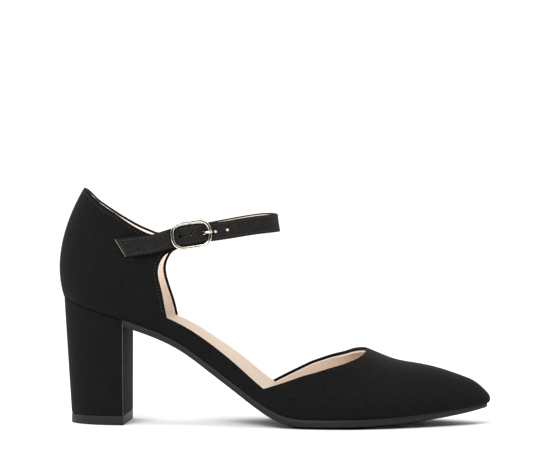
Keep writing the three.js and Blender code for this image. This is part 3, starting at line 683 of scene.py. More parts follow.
def closed_sheet(name, top, under, material):
    """Closed solid between a grid of points and the same grid under it."""
    rows, columns = top.shape[:2]
    count = rows * columns
    corners = [r * columns + c for r in range(rows - 1) for c in range(columns - 1)]
    above = [(a, a + 1, a + 1 + columns, a + columns) for a in corners]
    below = [tuple(i + count for i in reversed(face)) for face in above]
    border = (
        [(c, c + 1) for c in range(columns - 1)]
        + [((r + 1) * columns - 1, (r + 2) * columns - 1) for r in range(rows - 1)]
        + [(count - 1 - c, count - 2 - c) for c in range(columns - 1)]
        + [((rows - 1 - r) * columns, (rows - 2 - r) * columns) for r in range(rows - 1)]
    )
    sides = [(b, a, a + count, b + count) for a, b in border]
    points = np.vstack([top.reshape(-1, 3), under.reshape(-1, 3)])
    return mesh_object(name, points, above + below + sides, material)


PEACH, PEACH_PALE = (0.4, 0.305, 0.22), (0.54, 0.435, 0.33)


def insole_recipe(tone):
    grain = tone.noise(1900, 3, 0.6)
    cloud = tone.noise(28, 3, 0.5, (1, 2, 1))
    return {
        "Base Color": tone.mix(PEACH, PEACH_PALE, 0.25 * grain + 0.8 * cloud),
        "Roughness": 0.42 + 0.16 * grain,
        "Normal": tone.bump(grain, 0.00008, 0.4),
    }


insole_leather = finish_of("insole_leather", insole_recipe, Specular_IOR_Level=0.4)
insole = closed_sheet("insole", *insole_faces(), insole_leather)
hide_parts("insole")
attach(insole, "root")

# Outsole
# Thin rubber sole from the heel's breast to the toe, its edge trimmed square and a little proud.
# Its underside is bevelled up to the edge and flat where it meets the ground.
OUTSOLE, SOLE_EDGE, SOLE_PROUD = 0.0055, 0.0039, 0.0004
BEVEL = 0.2  # share of the half width
TIP_LONG, TIP_WIDE, TIP_THICK = 0.0313, 0.043, 0.005
BREAST = TIP_LONG / 2
SOLE = table(
    "at thick edge",
    (0.15, 0.68, 0.94),
    (0.24, 0.7, 0.94),
    (0.33, 0.8, 0.97),
    (0.42, 0.86, 1),
    (0.5, 0.97, 1),
    (0.56, 1, 1),
    (0.76, 0.96, 0.98),
    (0.86, 0.8, 0.84),
    (0.95, 0.63, 0.68),
    (0.992, 0.53, 0.58),
)
sole_x = place(SOLE["at"])
thickness = spline(sole_x, SOLE["thick"] * OUTSOLE)
edge_height = spline(sole_x, SOLE["edge"] * SOLE_EDGE)


def loft(name, rings, material, cap=True):
    """Closed solid from a stack of rings with as many points each."""
    rings = np.array(rings)
    levels, count = rings.shape[:2]
    faces = []
    for r in range(levels - 1):
        for i in range(count):
            j = (i + 1) % count
            faces.append((r * count + i, r * count + j, (r + 1) * count + j, (r + 1) * count + i))
    if cap:
        last = (levels - 1) * count
        for i in range(count // 2):
            ring = dict.fromkeys((i, i + 1, count - i - 1, (count - i) % count))
            faces.append(tuple(reversed(ring)))
            faces.append(tuple(last + k for k in ring))
    piece = mesh_object(name, rings.reshape(-1, 3), faces, material)
    mesh = bmesh.new()
    mesh.from_mesh(piece.data)
    bmesh.ops.remove_doubles(mesh, verts=mesh.verts, dist=TINY)
    bmesh.ops.recalc_face_normals(mesh, faces=mesh.faces)
    mesh.to_mesh(piece.data)
    mesh.free()
    return piece


def sole_rim():
    """The feather edge from the breast round the toe and back, a little proud."""
    start = along((BREAST + CLEARANCE + COUNTER_BACK) / LENGTH)
    us = np.linspace(1, start, 121)
    around = np.concatenate([-us, us[1:][::-1]])
    rim = skin(around, 0 * around, SOLE_PROUD)[0]
    rim[:, 0] = np.maximum(rim[:, 0], BREAST + CLEARANCE)
    return rim


def sole_level(rim, depth, inward):
    """The rim at a depth under the feather edge, drawn in by a share of the half width."""
    spine_x = np.minimum(rim[:, 0], TOE - BALL / 3)
    spine = np.stack([spine_x, middle(np.minimum(rim[:, 0], TOE)), 0 * rim[:, 0]], -1)
    ring = rim * (1 - inward) + spine * inward
    x = np.minimum(ring[:, 0], TOE)
    ring[:, 2] = np.maximum(rise(x) - CLEARANCE / 3 - depth(x), 0)
    return ring


def depth_of(edge, under):
    """Depth of a level, as a share of the edge's height and of what lies under the edge."""
    return lambda x: edge * edge_height(x) + under * (thickness(x) - edge_height(x))


def rubber(name, low, high):
    """Fine matt grit with faint clouds."""

    def recipe(tone):
        grit = tone.noise(2400, 2, 0.6)
        cloud = tone.noise(90, 3, 0.5)
        return {
            "Base Color": tone.mix(low, high, 0.5 * grit + 0.5 * cloud),
            "Roughness": 0.5 + 0.2 * grit,
            "Normal": tone.bump(grit, 0.0001, 0.5),
        }

    return finish_of(name, recipe, Specular_IOR_Level=0.3)


SOLE_LEVELS = (
    # edge, under, inward
    (1, 1, 0.6),
    (1, 1, BEVEL),
    (1, 0.35, BEVEL / 3),
    (1, 0, 0.006),
    (0.9, 0, 0),
    (0.12, 0, 0),
    (0, 0, 0.012),
)
sole_rubber = rubber("sole_rubber", (0.002, 0.002, 0.002), (0.008, 0.0079, 0.0078))
rim = sole_rim()
levels = [sole_level(rim, depth_of(edge, under), inward) for edge, under, inward in SOLE_LEVELS]
outsole = loft("outsole", levels, sole_rubber)
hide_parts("outsole")
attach(outsole, "root")

# Heel
# A block of wood or plastic under the seat, half an ellipse behind a flat breast.
# It is wrapped tightly in the upper's microsuede, with the corners of its breast eased.
HEEL_LEDGE = 0.0003
BREAST_CORNER = 0.0005
HEEL_LEVELS = (0, 0.006, 0.02, 0.1, 0.3, 0.5, 0.7, 0.9, 0.975, 0.993, 1)
HEEL_ROUND, ROUND_SHARE = 0.0004, 0.012  # easing of its top and bottom edges


def heel_outline(long, wide):
    """Half an ellipse, then straight across the breast with eased corners."""
    angles = np.linspace(0, np.pi / 2, 33)
    corner = np.linspace(0, np.pi / 2, 6)[1:]
    reach_back = long - BREAST_CORNER
    arc = [(BREAST - BREAST_CORNER - reach_back * math.cos(a), wide / 2 * math.sin(a)) for a in angles]
    arc += [(BREAST - BREAST_CORNER * (1 - math.sin(a)), wide / 2 - BREAST_CORNER * (1 - math.cos(a)))
            for a in corner]
    return arc + [(x, -y) for x, y in arc[:0:-1]]


def under_seat(x):
    """Height of the seat's underside."""
    return float(rise(max(x, BACK))) - CLEARANCE / 3


heel_long = BREAST - BACK - HEEL_LEDGE
heel_wide = SEAT - 2 * HEEL_LEDGE
heel_base = TIP_THICK + CLEARANCE / 2
heel_rings = []
for share in HEEL_LEVELS:
    inset = HEEL_ROUND * max(0, 1 - min(share, 1 - share) / ROUND_SHARE) ** 2
    long = TIP_LONG + (heel_long - TIP_LONG) * share - inset
    wide = TIP_WIDE + (heel_wide - TIP_WIDE) * share - 2 * inset
    outline = heel_outline(long, wide)
    heel_rings.append([(x, y, heel_base + share * (under_seat(x) - heel_base)) for x, y in outline])
heel = loft("heel", heel_rings, upper_suede)
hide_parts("heel")
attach(heel, "root")

# Heel corner highlights
# A fine bar at each front corner of the heel, from the lift up to the seat, where the cover turns onto the
# breast.
# Its microsuede is a lighter black: a painted highlight along the corner.
FINE_LINE = 0.00016
# Lighter blacks for the corner bars: painted highlight
CORNER_HIGHLIGHT_BLACK = ((0.05, 0.0493, 0.0483), (0.2, 0.197, 0.192))


def round_bar(name, start, end, radius, material, sides=24):
    """A straight round bar between two points."""
    start, end = Vector(start), Vector(end)
    mesh = bmesh.new()
    turn = (end - start).to_track_quat("Z", "Y").to_matrix().to_4x4()
    bmesh.ops.create_cone(mesh, cap_ends=True, segments=sides, radius1=radius, radius2=radius,
                          depth=(end - start).length, matrix=Matrix.Translation((start + end) / 2) @ turn)
    data = bpy.data.meshes.new(name)
    mesh.to_mesh(data)
    mesh.free()
    return placed(name, data, material)


# Microsuede in the lighter blacks, painting the highlight on the heel's front corners
highlight_suede = microsuede("microsuede_painted_highlight", CORNER_HIGHLIGHT_BLACK)
corner_in = BREAST_CORNER * (1 - math.sqrt(0.5))
for side in (-1, 1):
    low_corner = (BREAST - corner_in, side * (TIP_WIDE / 2 - corner_in), heel_base + CLEARANCE)
    high_corner = (BREAST - corner_in, side * (heel_wide / 2 - corner_in), under_seat(BREAST) - CLEARANCE)
    heel_corner_highlight = round_bar(f"heel_corner_highlight_{side}", low_corner, high_corner, FINE_LINE, highlight_suede)
    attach(heel_corner_highlight, "root")

# Heel top piece
# Hard rubber lift nailed under the heel and trimmed flush with the cover.
# Its upper and lower edges are eased, and it stands flat on the ground.
TIP_ROUND = 0.0005
TIP_LEVELS = (
    # share of its height, share of TIP_ROUND
    (0, 1),
    (0.04, 0.3),
    (0.12, 0),
    (0.88, 0),
    (0.96, 0.2),
    (1, 0.8),
)
tip_rubber = rubber("tip_rubber", (0.003, 0.003, 0.003), (0.01, 0.0099, 0.0098))
tip_rings = []
for height, inset in TIP_LEVELS:
    outline = heel_outline(TIP_LONG - inset * TIP_ROUND, TIP_WIDE - 2 * inset * TIP_ROUND)
    tip_rings.append([(x, y, height * TIP_THICK) for x, y in outline])
heel_top_piece = loft("heel_top_piece", tip_rings, tip_rubber)
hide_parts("heel_top_piece")
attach(heel_top_piece, "root")

# Ankle strap and its lining
# One long strap of black microsuede with a pale lining, stitched along both edges. Its tip is
# tucked under the tab, and it runs through the buckle and over the instep to its sewn end.
STRAP_WIDE, STRAP_THICK = 0.01, 0.0016
STRAP_LINING, STRAP_TURN = 0.0004, 0.0008  # the black edge is turned over beside the lining
LOOP_THICK = 0.0008
BUCKLE_LONG, BUCKLE_WIDE, BUCKLE_RADIUS = 0.0224, 0.0154, 0.0064
BUCKLE_RIM, BUCKLE_THICK = 0.0022, 0.0016
RIM_SHOWN = 0.0017  # the rim is rounded off to this on its inside
BUCKLE_TILT = math.radians(8.5)
BAR = 0.0014
PRONG_HOLE = 0.0069
HOLE, HOLE_STEP = 0.0015, 0.0065
WORN_HOLE = 1.3  # the hole in use is stretched
STRAP_BOW = 10  # curvature ahead of the buckle, per metre
STRAP_LINE = table(
    "at up",
    (0.14, 0.447),
    (0.1557, 0.453),
    (0.1954, 0.47),
    (0.2321, 0.494),
    (0.276, 0.549),
    (0.32, 0.585),
    (0.365, 0.612),
)
strap_line = spline(place(STRAP_LINE["at"]), HEEL_HEIGHT + STRAP_LINE["up"] * COUNTER)
PERCH, STRAP_TIP, STRAP_END, LOOP_START = [float(place(at)) for at in (0.2743, 0.2, 0.17, 0.225)]
LOOP_CLIMB = 0.008  # stretch over which the strap rises onto the loop
HALF_BUCKLE = (BUCKLE_LONG - BUCKLE_RIM) / 2
UNDER_RIM = BUCKLE_THICK / 2 + CLEARANCE + STRAP_THICK
BAR_DROP = UNDER_RIM + CLEARANCE + LOOP_THICK / 2
EYE = BAR / 2 + CLEARANCE
HUMP = EYE + LOOP_THICK / 2
RIM_HEIGHT = CLEARANCE + LOOP_THICK + CLEARANCE + UNDER_RIM


def spot(side, x, z):
    """(u, v) of the surface as it is seen at x, z from one side."""
    x, z = np.broadcast_arrays(np.asarray(x, float), np.asarray(z, float))
    u = side * along((x + COUNTER_BACK) / LENGTH)
    v = np.full_like(u, 0.3)
    for _ in range(30):
        here, du, dv = slopes(u, v)
        area = du[..., 0] * dv[..., 2] - du[..., 2] * dv[..., 0]
        miss_x, miss_z = x - here[..., 0], z - here[..., 2]
        u = u + np.clip((miss_x * dv[..., 2] - miss_z * dv[..., 0]) / area, -0.05, 0.05)
        v = v + np.clip((du[..., 0] * miss_z - du[..., 2] * miss_x) / area, -0.1, 0.1)
    return u, v


def wing_axes(side):
    """Point on the wing under the buckle's back rim, and the axes forward, outward and up."""
    point, normal = skin(*spot(side, PERCH, strap_line(PERCH)))
    forward = np.array([math.cos(BUCKLE_TILT), 0, math.sin(BUCKLE_TILT)])
    forward = unit(forward - normal * forward.dot(normal))
    return point, forward, normal, np.cross(forward, normal) * side


WING = {side: wing_axes(side) for side in (-1, 1)}


def on_wing(side, t, out, w=0.0):
    """A point forward, outward and up from the wing's point."""
    point, forward, normal, up = WING[side]
    t, out, w = [np.asarray(value, float)[..., None] for value in (t, out, w)]
    return point + forward * t + normal * out + up * w


def on_buckle(t, out, w=0.0):
    """The same from the middle of the buckle's rim."""
    return on_wing(-1, np.asarray(t) + HALF_BUCKLE, np.asarray(out) + RIM_HEIGHT, w)


def ease(x, start, length):
    """A smooth step from 0 to 1."""
    t = np.clip((x - start) / length, 0, 1)
    return t * t * (3 - 2 * t)


def strap_lift(x):
    """Gap between the wing and the strap, which climbs onto the loop."""
    return CLEARANCE + (LOOP_THICK + CLEARANCE) * ease(x, LOOP_START, LOOP_CLIMB)


def strap_face(t):
    """Inner face of the strap along the buckle, outward from the middle of the rim."""
    inside = HALF_BUCKLE - BUCKLE_RIM / 2
    hump = np.where(np.abs(t) < inside, HUMP * np.cos(t / inside * np.pi / 2) ** 2, 0)
    return hump - UNDER_RIM + STRAP_BOW * np.maximum(t - HALF_BUCKLE, 0) ** 2


STRAIGHT = PRONG_HOLE + 2.3 * HOLE_STEP  # the strap is straight to here, past its last hole
STRAP_LOOP = table(
    "at aside up",
    (0.4312, -0.839, 0.641),
    (0.4618, -0.783, 0.66),
    (0.4883, -0.557, 0.671),
    (0.5013, -0.274, 0.676),
    (0.5046, 0, 0.677),
    (0.5013, 0.274, 0.678),
    (0.4883, 0.557, 0.682),
    (0.4618, 0.783, 0.677),
    (0.4312, 0.839, 0.659),
    (0.3852, 0.81, 0.626),
    (0.3388, 0.745, 0.59),
)


def strap_frames():
    """Points on the middle of the strap's inner face, with the directions up and outward."""
    middle_points, ups, outs = [], [], []
    sewn = ((-1, STRAP_TIP, PERCH - BUCKLE_RIM), (1, PERCH, STRAP_END))
    for side, first, last in sewn:
        xs = np.linspace(first, last, 24)
        tilt = np.arctan2(strap_line(xs + 0.001) - strap_line(xs - 0.001), 0.002)
        z = strap_line(xs)
        ends = [spot(side, xs - s * np.sin(tilt) * STRAP_WIDE / 2, z + s * np.cos(tilt) * STRAP_WIDE / 2)
                for s in (-1, 1)]
        lift = strap_lift(xs) if side < 0 else np.full_like(xs, CLEARANCE)
        (low, low_normal), (high, high_normal) = [
            (skin(*end)[0] + skin(*end)[1] * lift[:, None], skin(*end)[1]) for end in ends]
        middle_points.append((low + high) / 2)
        ups.append(unit(high - low))
        outs.append(unit(low_normal + high_normal))
    t = np.linspace(-HALF_BUCKLE, STRAIGHT, 60)
    _, forward, normal, up = WING[-1]
    bend = np.gradient(strap_face(t), t)[:, None]
    buckle_out = unit(normal - forward * bend)
    start = on_buckle(STRAIGHT, strap_face(STRAIGHT))
    shared = np.stack([place(STRAP_LOOP["at"]), STRAP_LOOP["aside"] * SEAT / 2,
                       HEEL_HEIGHT + STRAP_LOOP["up"] * COUNTER], -1)
    path = np.vstack([start, shared, on_wing(1, STRAP_THICK, CLEARANCE), on_wing(1, 0, CLEARANCE)])
    path = evenly(curve_through(path, 24), 130)[1:-1]
    run = unit(np.gradient(path, axis=0))
    share = np.linspace(0, 1, len(path))[:, None]
    lean_up = up * (1 - share) + WING[1][3] * share
    path_up = unit(lean_up - run * np.sum(lean_up * run, -1, keepdims=True))
    return (
        np.vstack([middle_points[0], on_buckle(t, strap_face(t)), path, middle_points[1]]),
        np.vstack([ups[0], np.tile(up, (len(t), 1)), path_up, ups[1]]),
        np.vstack([outs[0], buckle_out, unit(np.cross(run, path_up)), outs[1]]),
    )


def rounded_rectangle(long, wide, radius, corner_steps):
    """Its outline round the origin, anticlockwise."""
    points = []
    for x, y, turn in ((1, 1, 0), (-1, 1, 1), (-1, -1, 2), (1, -1, 3)):
        for k in range(corner_steps + 1):
            angle = (turn + k / corner_steps) * math.pi / 2
            points.append((x * (long / 2 - radius) + radius * math.cos(angle),
                           y * (wide / 2 - radius) + radius * math.sin(angle)))
    return points


def rounded_bar(wide, low, high, radius):
    """Outline of a flat band's section as (across, outward) points."""
    return [(a, b + (low + high) / 2) for a, b in rounded_rectangle(wide, high - low, radius, 3)]


def ribbon(name, frames, section, material, widths=None):
    """A band with one section all along a row of frames; widths narrows its ends."""
    centres, ups, outs = frames
    widths = np.ones(len(centres)) if widths is None else widths
    rings = [
        [centre + up * (w * a) + out * b for a, b in section]
        for centre, up, out, w in zip(centres, ups, outs, widths)
    ]
    return loft(name, rings, material)


STRAP_BLACK = ((0.0055, 0.0053, 0.005), (0.029, 0.028, 0.0265))
strap_suede = microsuede("strap_microsuede", STRAP_BLACK)
strap = strap_frames()
tip_widths = np.ones(len(strap[0]))
tip_widths[:3] = 0.5, 0.8, 0.93
strap_section = rounded_bar(STRAP_WIDE, STRAP_LINING / 4, STRAP_THICK, STRAP_THICK / 4)
lining_section = rounded_bar(STRAP_WIDE - 2 * STRAP_TURN, 0, STRAP_LINING, STRAP_LINING / 4)
ankle_strap = ribbon("ankle_strap", strap, strap_section, strap_suede, tip_widths)
strap_lining = ribbon("strap_lining", strap, lining_section, leather_painted_shade, tip_widths)

# Buckle facing and the holes
# A thin fabric facing lies behind the strap and fills the buckle's opening out to the rim.
# The holes are punched through strap, lining and facing together.
OPENING_WIDE, OPENING_HALF = BUCKLE_WIDE - 2 * RIM_SHOWN, BUCKLE_LONG / 2 - RIM_SHOWN
OPENING_RADIUS = BUCKLE_RADIUS - RIM_SHOWN
FACING_THICK, FACING_GAP, FACING_STEPS = 0.0002, 0.0001, 40
facing_t = np.linspace(CLEARANCE - OPENING_HALF, OPENING_HALF - CLEARANCE, FACING_STEPS)
in_corner = np.clip(np.abs(facing_t) - OPENING_HALF + OPENING_RADIUS, 0, OPENING_RADIUS)
drawn_in = 1 - 2 * (OPENING_RADIUS - np.sqrt(OPENING_RADIUS ** 2 - in_corner ** 2)) / OPENING_WIDE
facing_frames = (
    on_buckle(facing_t, strap_face(facing_t)),
    np.tile(WING[-1][3], (FACING_STEPS, 1)),
    np.tile(WING[-1][2], (FACING_STEPS, 1)),
)
facing_section = rounded_bar(
    OPENING_WIDE - 2 * FACING_GAP, -FACING_THICK - FACING_GAP / 2, -FACING_GAP / 2, FACING_THICK * 0.4
)
buckle_facing = ribbon("buckle_facing", facing_frames, facing_section, strap_suede, drawn_in)


def join(name, pieces):
    """Several meshes as one piece."""
    merged = bmesh.new()
    for piece in pieces:
        merged.from_mesh(piece.data)
    data = bpy.data.meshes.new(name)
    merged.to_mesh(data)
    merged.free()
    material = pieces[0].data.materials[0]
    for piece in pieces:
        bpy.data.objects.remove(piece)
    return placed(name, data, material)


def cut(piece, cutter):
    """Takes a cutter out of a piece."""
    tool = piece.modifiers.new("cut", "BOOLEAN")
    tool.operation = "DIFFERENCE"
    tool.solver = "EXACT"
    tool.object = cutter
    shown = piece.evaluated_get(bpy.context.evaluated_depsgraph_get())
    mesh = bpy.data.meshes.new_from_object(shown)
    piece.modifiers.clear()
    piece.data = mesh


PUNCH_REACH = 0.004
punches = []
for k in (-2, -1, 0, 1, 2):
    t = PRONG_HOLE + k * HOLE_STEP
    face = float(strap_face(t))
    ends = [on_buckle(t, face - PUNCH_REACH), on_buckle(t, face + PUNCH_REACH)]
    radius = HOLE / 2 * (WORN_HOLE if k == 0 else 1)
    punches.append(round_bar(f"punch_{k}", *ends, radius, lining_leather, 20))
punch = join("punch", punches)
punched = (
    (ankle_strap, "strap_fabric"),
    (strap_lining, "insole_leather"),
    (buckle_facing, "strap_fabric"),
)
for piece, slot in punched:
    cut(piece, punch)
    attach(piece, "root")
bpy.data.objects.remove(punch)
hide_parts("ankle_strap")

# Buckle tab
# A short piece of the same fabric on the outer wing. Its slanted end is sewn down, and ahead of
# it the tab is a tunnel for the strap's tip.
TAB_WIDE, TAB_THICK = 0.0102, 0.0013
TAB_ROUND = 0.15  # share of its width that the eased edges take
TAB_CLIMB = 0.006  # stretch over which it rises onto the strap
TAB_BACK_HIGH, TAB_BACK_LOW = place(0.143), place(0.1688)
TAB_LEAN = math.tan(BUCKLE_TILT) * TAB_WIDE / 2  # its front end is parallel to the rim
TAB_FRONT = PERCH - BUCKLE_RIM / 2 - CLEARANCE


def tab_frames():
    """Middle line of the tab's inner face, the way across it at full width, and outward."""
    low = np.linspace(TAB_BACK_LOW, TAB_FRONT + TAB_LEAN, 40)
    high = np.linspace(TAB_BACK_HIGH, TAB_FRONT - TAB_LEAN, 40)
    x = (low + high) / 2
    cover = (strap_lift(x) + STRAP_THICK) * ease(x, STRAP_TIP - LOOP_CLIMB, TAB_CLIMB)
    lift = (CLEARANCE / 3 + cover)[:, None]
    ends = [skin(*spot(-1, low, strap_line(low) - TAB_WIDE / 2)),
            skin(*spot(-1, high, strap_line(high) + TAB_WIDE / 2))]
    (low_points, low_normals), (high_points, high_normals) = ends
    low_points, high_points = low_points + low_normals * lift, high_points + high_normals * lift
    return (low_points + high_points) / 2, high_points - low_points, unit(low_normals + high_normals)


tab = tab_frames()
tab_section = [(math.copysign(0.5 - (0.5 - abs(a)) * TAB_ROUND, a), b * TAB_THICK)
               for a, b in rounded_bar(1, 0, 1, 0.25)]
buckle_tab = ribbon("buckle_tab", tab, tab_section, strap_suede)
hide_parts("buckle_tab")
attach(buckle_tab, "root")

# Tab cut
# The tab's slanted end is cut raw, so its pale backing shows there as a fine line.
# It lies on the end's face, a little above half the tab's thickness.
CUT_HALF, CUT_HEIGHT = 0.47, 0.6  # shares of the tab's width and thickness
cut_middle, cut_across, cut_out = [rows[0] for rows in tab]
cut_middle = cut_middle + cut_out * TAB_THICK * CUT_HEIGHT
cut_ends = [cut_middle + cut_across * share for share in (-CUT_HALF, CUT_HALF)]
tab_cut = round_bar("tab_cut", *cut_ends, FINE_LINE, leather_painted_shade)
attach(tab_cut, "root")

# Stitches
# Machine stitches in black thread: along the collar, the wings' fronts, both edges of strap and tab
# and across the tab's sewn end. On the lining the thread is pale. Each stitch dips in at both ends.
STITCH, STITCH_GAP, THREAD = 0.0013, 0.0006, 0.00022
PROUD = 0.3  # share of the thread that stands out of the fabric
EDGE_MARGIN, LINING_MARGIN, STRAP_MARGIN, TAB_MARGIN = 0.002, 0.0024, 0.0012, 0.0013
SLANT_HALF = 0.38  # half the row across the tab's sewn end, as a share of its width


def thread(name, low, high, roughness):
    """Twisted thread."""

    def recipe(tone):
        twist = tone.noise(4000, 2, 0.5)
        return {"Base Color": tone.mix(low, high, twist), "Normal": tone.bump(twist, 0.0001, 0.5)}

    return finish_of(name, recipe, Roughness=roughness)


black_thread = thread("black_thread", (0.008, 0.008, 0.008), (0.022, 0.0216, 0.021), 0.8)
pale_thread = thread("pale_thread", (0.5, 0.4, 0.33), (0.72, 0.6, 0.5), 0.6)


def around_circle(sides):
    return [(math.cos(2 * math.pi * k / sides), math.sin(2 * math.pi * k / sides)) for k in range(sides)]


def stitches(line, normals, material):
    """A row of stitches along a line of surface points."""
    line, normals = np.asarray(line), np.asarray(normals)
    run = run_of(line)

    def at(s, rows):
        return np.stack([np.interp(s, run, column) for column in rows.T], -1)

    vertices, faces = [], []
    sides, lengths = 6, np.linspace(-1, 1, 7)
    for s in np.arange(STITCH, run[-1] - STITCH, STITCH + STITCH_GAP):
        centre, normal = at(s, line), unit(at(s, normals))
        forward = unit(at(s + STITCH / 2, line) - at(s - STITCH / 2, line))
        aside = np.cross(normal, forward)
        start = len(vertices)
        for share in lengths:
            thick = THREAD * max(1 - abs(share) ** 4, 0.05) ** 0.5
            sink = THREAD * (PROUD - 1.1 * share ** 2)
            for x, y in around_circle(sides):
                up = normal * (sink + thick * y)
                vertices.append(centre + forward * share * STITCH / 2 + up + aside * thick * x)
        for r in range(len(lengths) - 1):
            for k in range(sides):
                a, b = start + r * sides + k, start + r * sides + (k + 1) % sides
                faces.append((a, b, b + sides, a + sides))
        faces.append(tuple(start + k for k in reversed(range(sides))))
        faces.append(tuple(start + (len(lengths) - 1) * sides + k for k in range(sides)))
    return mesh_object("row_of_stitches", vertices, faces, material)


def stitched_outline(outline, side, inward, offset, material, facing=1):
    """A row of stitches along an edge of the upper, drawn in from it."""
    spots = on_last(outline, side, inward)
    points, normals = skin(spots[:, 0], spots[:, 1], offset)
    return stitches(points, normals * facing, material)


# Each row starts a few points inside its edge's ends, clear of the corners.
black_rows, pale_rows = [], []
for side in (-1, 1):
    collar_line = curve_through(outline_of(COLLAR, side), STEPS)[3:-2]
    front_line = curve_through(outline_of(QUARTER_FRONT, side), STEPS)[6:-1]
    for outline in (collar_line, front_line):
        black_rows.append(stitched_outline(outline, side, EDGE_MARGIN, 0, black_thread))
        pale_rows.append(stitched_outline(outline, side, LINING_MARGIN, -WALL, pale_thread, -1))
centres, ups, outs = strap
tab_middle, tab_across, tab_out = tab
tab_top = tab_middle + tab_out * TAB_THICK
free = slice(2, len(centres) - 1)
for sign in (-1, 1):
    edge = centres + ups * sign * (STRAP_WIDE / 2 - STRAP_MARGIN)
    black_rows.append(stitches((edge + outs * STRAP_THICK)[free], outs[free], black_thread))
    pale_rows.append(stitches(edge[free], -outs[free], pale_thread))
    tab_edge = tab_top + tab_across * sign * (0.5 - TAB_MARGIN / TAB_WIDE)
    black_rows.append(stitches(tab_edge[1:-1], tab_out[1:-1], black_thread))
slant = [tab_top[2] + tab_across[2] * share for share in np.linspace(-SLANT_HALF, SLANT_HALF, 9)]
black_rows.append(stitches(slant, np.tile(tab_out[2], (9, 1)), black_thread))
for name, sewn_rows, slot in (
    ("stitches_black", black_rows, "strap_fabric"),
    ("stitches_pale", pale_rows, "insole_leather"),
):
    sewn = join(name, sewn_rows)
    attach(sewn, "root")

# Buckle frame
# A polished nickel silver rim with rounded ends. Its centre bar lies behind the strap on two short
# legs, in a small loop of fabric.
RIM_STEPS, CORNER_STEPS = 96, 12
RIM_FULLNESS = 0.7
LEG_OVERLAP = 0.3  # share of a leg's length that goes on into the bar


def nickel_recipe(tone):
    """Polished metal with faint smears and hairline scratches."""
    smear = tone.noise(160, 3, 0.5)
    scratch = tone.noise(900, 2, 0.6, (1, 1, 6))
    return {
        "Base Color": tone.mix((0.62, 0.57, 0.5), (0.78, 0.73, 0.66), smear),
        "Roughness": 0.06 + 0.08 * scratch,
        "Normal": tone.bump(scratch, 0.00002, 0.15),
    }


def tube(name, path, radii, material, closed=False, fullness=1.0):
    """A bar along a path. radii: in the buckle's plane and out of it.

    A fullness under 1 flattens the bar's faces."""
    path = np.asarray(path)
    if closed:
        run = unit(np.gradient(np.vstack([path[-1:], path, path[:1]]), axis=0)[1:-1])
    else:
        run = unit(np.gradient(path, axis=0))
    aside = unit(np.cross(run, WING[-1][2]))
    over = np.cross(aside, run)
    section = [[math.copysign(abs(value) ** fullness, value) for value in turn] for turn in around_circle(24)]
    flat, proud = aside * radii[0], over * radii[1]
    rings = [[p + a * x + o * y for x, y in section] for p, a, o in zip(path, flat, proud)]
    if closed:
        rings.append(rings[0])
    return loft(name, rings, material, cap=not closed)


def rim_path():
    """Middle line of the rim: a rectangle with rounded corners, in the buckle's plane."""
    long, wide, radius = BUCKLE_LONG - RIM_SHOWN, BUCKLE_WIDE - RIM_SHOWN, BUCKLE_RADIUS - RIM_SHOWN / 2
    points = rounded_rectangle(long, wide, radius, CORNER_STEPS)
    ring = evenly(points + points[:1], RIM_STEPS)[:-1]
    return on_buckle(ring[:, 0], 0 * ring[:, 0], ring[:, 1])


nickel = finish_of("nickel_silver", nickel_recipe, Metallic=1.0)
bar_at = (BUCKLE_WIDE - BUCKLE_RIM) / 2
bar_ends = [on_buckle(0, -BAR_DROP, sign * bar_at) for sign in (-1, 1)]
buckle_pieces = [
    tube("rim", rim_path(), (RIM_SHOWN / 2, BUCKLE_THICK / 2), nickel, closed=True, fullness=RIM_FULLNESS),
    round_bar("bar", *bar_ends, BAR / 2, nickel),
]
for sign, end in zip((-1, 1), bar_ends):
    top_end = on_buckle(0, 0, sign * bar_at)
    low_end = end + (end - top_end) * LEG_OVERLAP
    buckle_pieces.append(round_bar(f"leg_{sign}", low_end, top_end, BAR / 2, nickel))
buckle_frame = join("buckle_frame", buckle_pieces)
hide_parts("buckle_frame")
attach(buckle_frame, "root")

# Buckle prong
# A flat nickel silver prong. Its eye turns on the bar, and its shank comes up through the hole in
# use and rests on the front of the rim.
PRONG_WIDE, PRONG_THICK = 0.0013, 0.001
BEHIND_HOLE, AHEAD_OF_HOLE = 0.0018, 0.002  # where the shank starts to rise and where it is up
EYE_STEPS = 27
prong_rest = BUCKLE_THICK / 2 + CLEARANCE / 2 + PRONG_THICK / 2
prong_line = curve_through([
    (EYE + PRONG_THICK / 4, -BAR_DROP),
    (PRONG_HOLE - BEHIND_HOLE, -BAR_DROP + CLEARANCE),
    (PRONG_HOLE + AHEAD_OF_HOLE / 2, prong_rest - CLEARANCE / 3),
    (PRONG_HOLE + AHEAD_OF_HOLE, prong_rest),
    (HALF_BUCKLE, prong_rest),
    (HALF_BUCKLE + BUCKLE_RIM / 2 + CLEARANCE, prong_rest - CLEARANCE),
], 8)
shank_path = on_buckle(prong_line[:, 0], prong_line[:, 1])
prong_shank = tube("prong_shank", shank_path, (PRONG_WIDE / 2, PRONG_THICK / 2), nickel)
eye_radius = EYE + PRONG_THICK / 2
eye_rings = []
for cos, sin in [*around_circle(EYE_STEPS), (1, 0)]:
    point = on_buckle(eye_radius * cos, -BAR_DROP + eye_radius * sin)
    away = unit(point - on_buckle(0, -BAR_DROP))
    eye_rings.append([point + away * PRONG_THICK / 2.2 * a + WING[-1][3] * PRONG_WIDE / 2 * b
                      for a, b in around_circle(12)])
buckle_prong = join("buckle_prong", [prong_shank, loft("prong_eye", eye_rings, nickel, cap=False)])
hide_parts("buckle_prong")
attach(buckle_prong, "root")

# Buckle loop
# A small loop of the strap's fabric that holds the bar to the wing, sewn on behind the strap.
# It is hidden there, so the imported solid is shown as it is.
buckle_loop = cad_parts["buckle_loop"]
buckle_loop.data.materials.clear()
buckle_loop.data.materials.append(strap_suede)

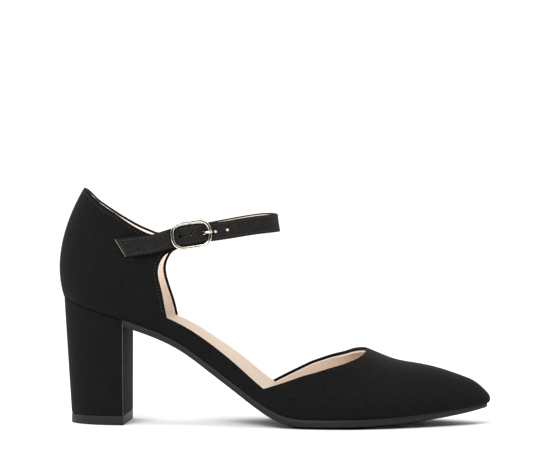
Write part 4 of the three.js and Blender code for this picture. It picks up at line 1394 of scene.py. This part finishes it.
# Studio
# A plain pale floor in an even light, with a broad sun from above and a lamp high in front.
# The room is dark towards the camera, so that the metal has something dark to mirror.
FLOOR = 40.0
ROOM_LIGHT, ROOM_DARK, ROOM_POWER = (1.0, 1.0, 1.0), (0.05, 0.042, 0.034), 1.45
DARK_FROM, DARK_TO = -0.2, -0.6  # along Y, towards the camera
LIGHTS = (
    # name, kind, position, target, power, spread
    ("overhead", "SUN", (0, 0, 1), (0.1, 0.4, 0), 0.85, math.radians(80)),
    ("key", "AREA", (-0.25, -1.1, 1.0), (0.06, 0, 0.06), 19.0, 0.7),
)
floor_finish = finish_of(
    "floor_paper",
    lambda tone: {"Base Color": tone.mix((0.86, 0.86, 0.86), (0.88, 0.88, 0.88), tone.noise(3))},
    Roughness=0.9, Specular_IOR_Level=0.0,
)
corners = [(x * FLOOR, y * FLOOR, 0) for x, y in ((-1, -1), (1, -1), (1, 1), (-1, 1))]
floor = mesh_object("floor", corners, [(0, 1, 2, 3)], floor_finish, smooth=False)
world = bpy.data.worlds.new("studio")
world.use_nodes = True
room = Tone(world.node_tree)
direction = room.node("TexCoord", {}, {}, "Generated")
depth = room.node("SeparateXYZ", {}, {0: direction}, "Y")
dark = room.node("MapRange", {}, {"Value": depth, "From Min": DARK_FROM, "From Max": DARK_TO})
background = world.node_tree.nodes["Background"]
world.node_tree.links.new(room.mix(ROOM_LIGHT, ROOM_DARK, dark).socket, background.inputs["Color"])
background.inputs["Strength"].default_value = ROOM_POWER
bpy.context.scene.world = world
for name, kind, position, target, power, spread in LIGHTS:
    light = bpy.data.lights.new(name, kind)
    light.energy = power
    if kind == "SUN":
        light.angle = spread
    else:
        light.shape = "DISK"
        light.size = spread
    lamp = bpy.data.objects.new(name, light)
    lamp.location = position
    lamp.rotation_euler = (Vector(position) - Vector(target)).to_track_quat("Z", "Y").to_euler()
    bpy.context.collection.objects.link(lamp)

# Camera
# It stands a metre and a half from the outer side, abreast of the toe and a little above the collar.
# It looks back at the middle of the shoe through a long lens.
CAMERA_AT = Vector((0.20535, -1.450, 0.1413))
CAMERA_AIM = Vector((0.09735, 0, 0.1093))
FOCAL = 172.6  # millimetres on a sensor 36 mm wide
lens = bpy.data.cameras.new("camera")
lens.sensor_fit = "HORIZONTAL"
lens.sensor_width = 36
lens.lens = FOCAL
camera = bpy.data.objects.new("camera", lens)
camera.location = CAMERA_AT
camera.rotation_euler = (CAMERA_AIM - CAMERA_AT).to_track_quat("-Z", "Y").to_euler()
bpy.context.collection.objects.link(camera)
bpy.context.scene.camera = camera
bpy.context.scene.view_settings.view_transform = "Standard"
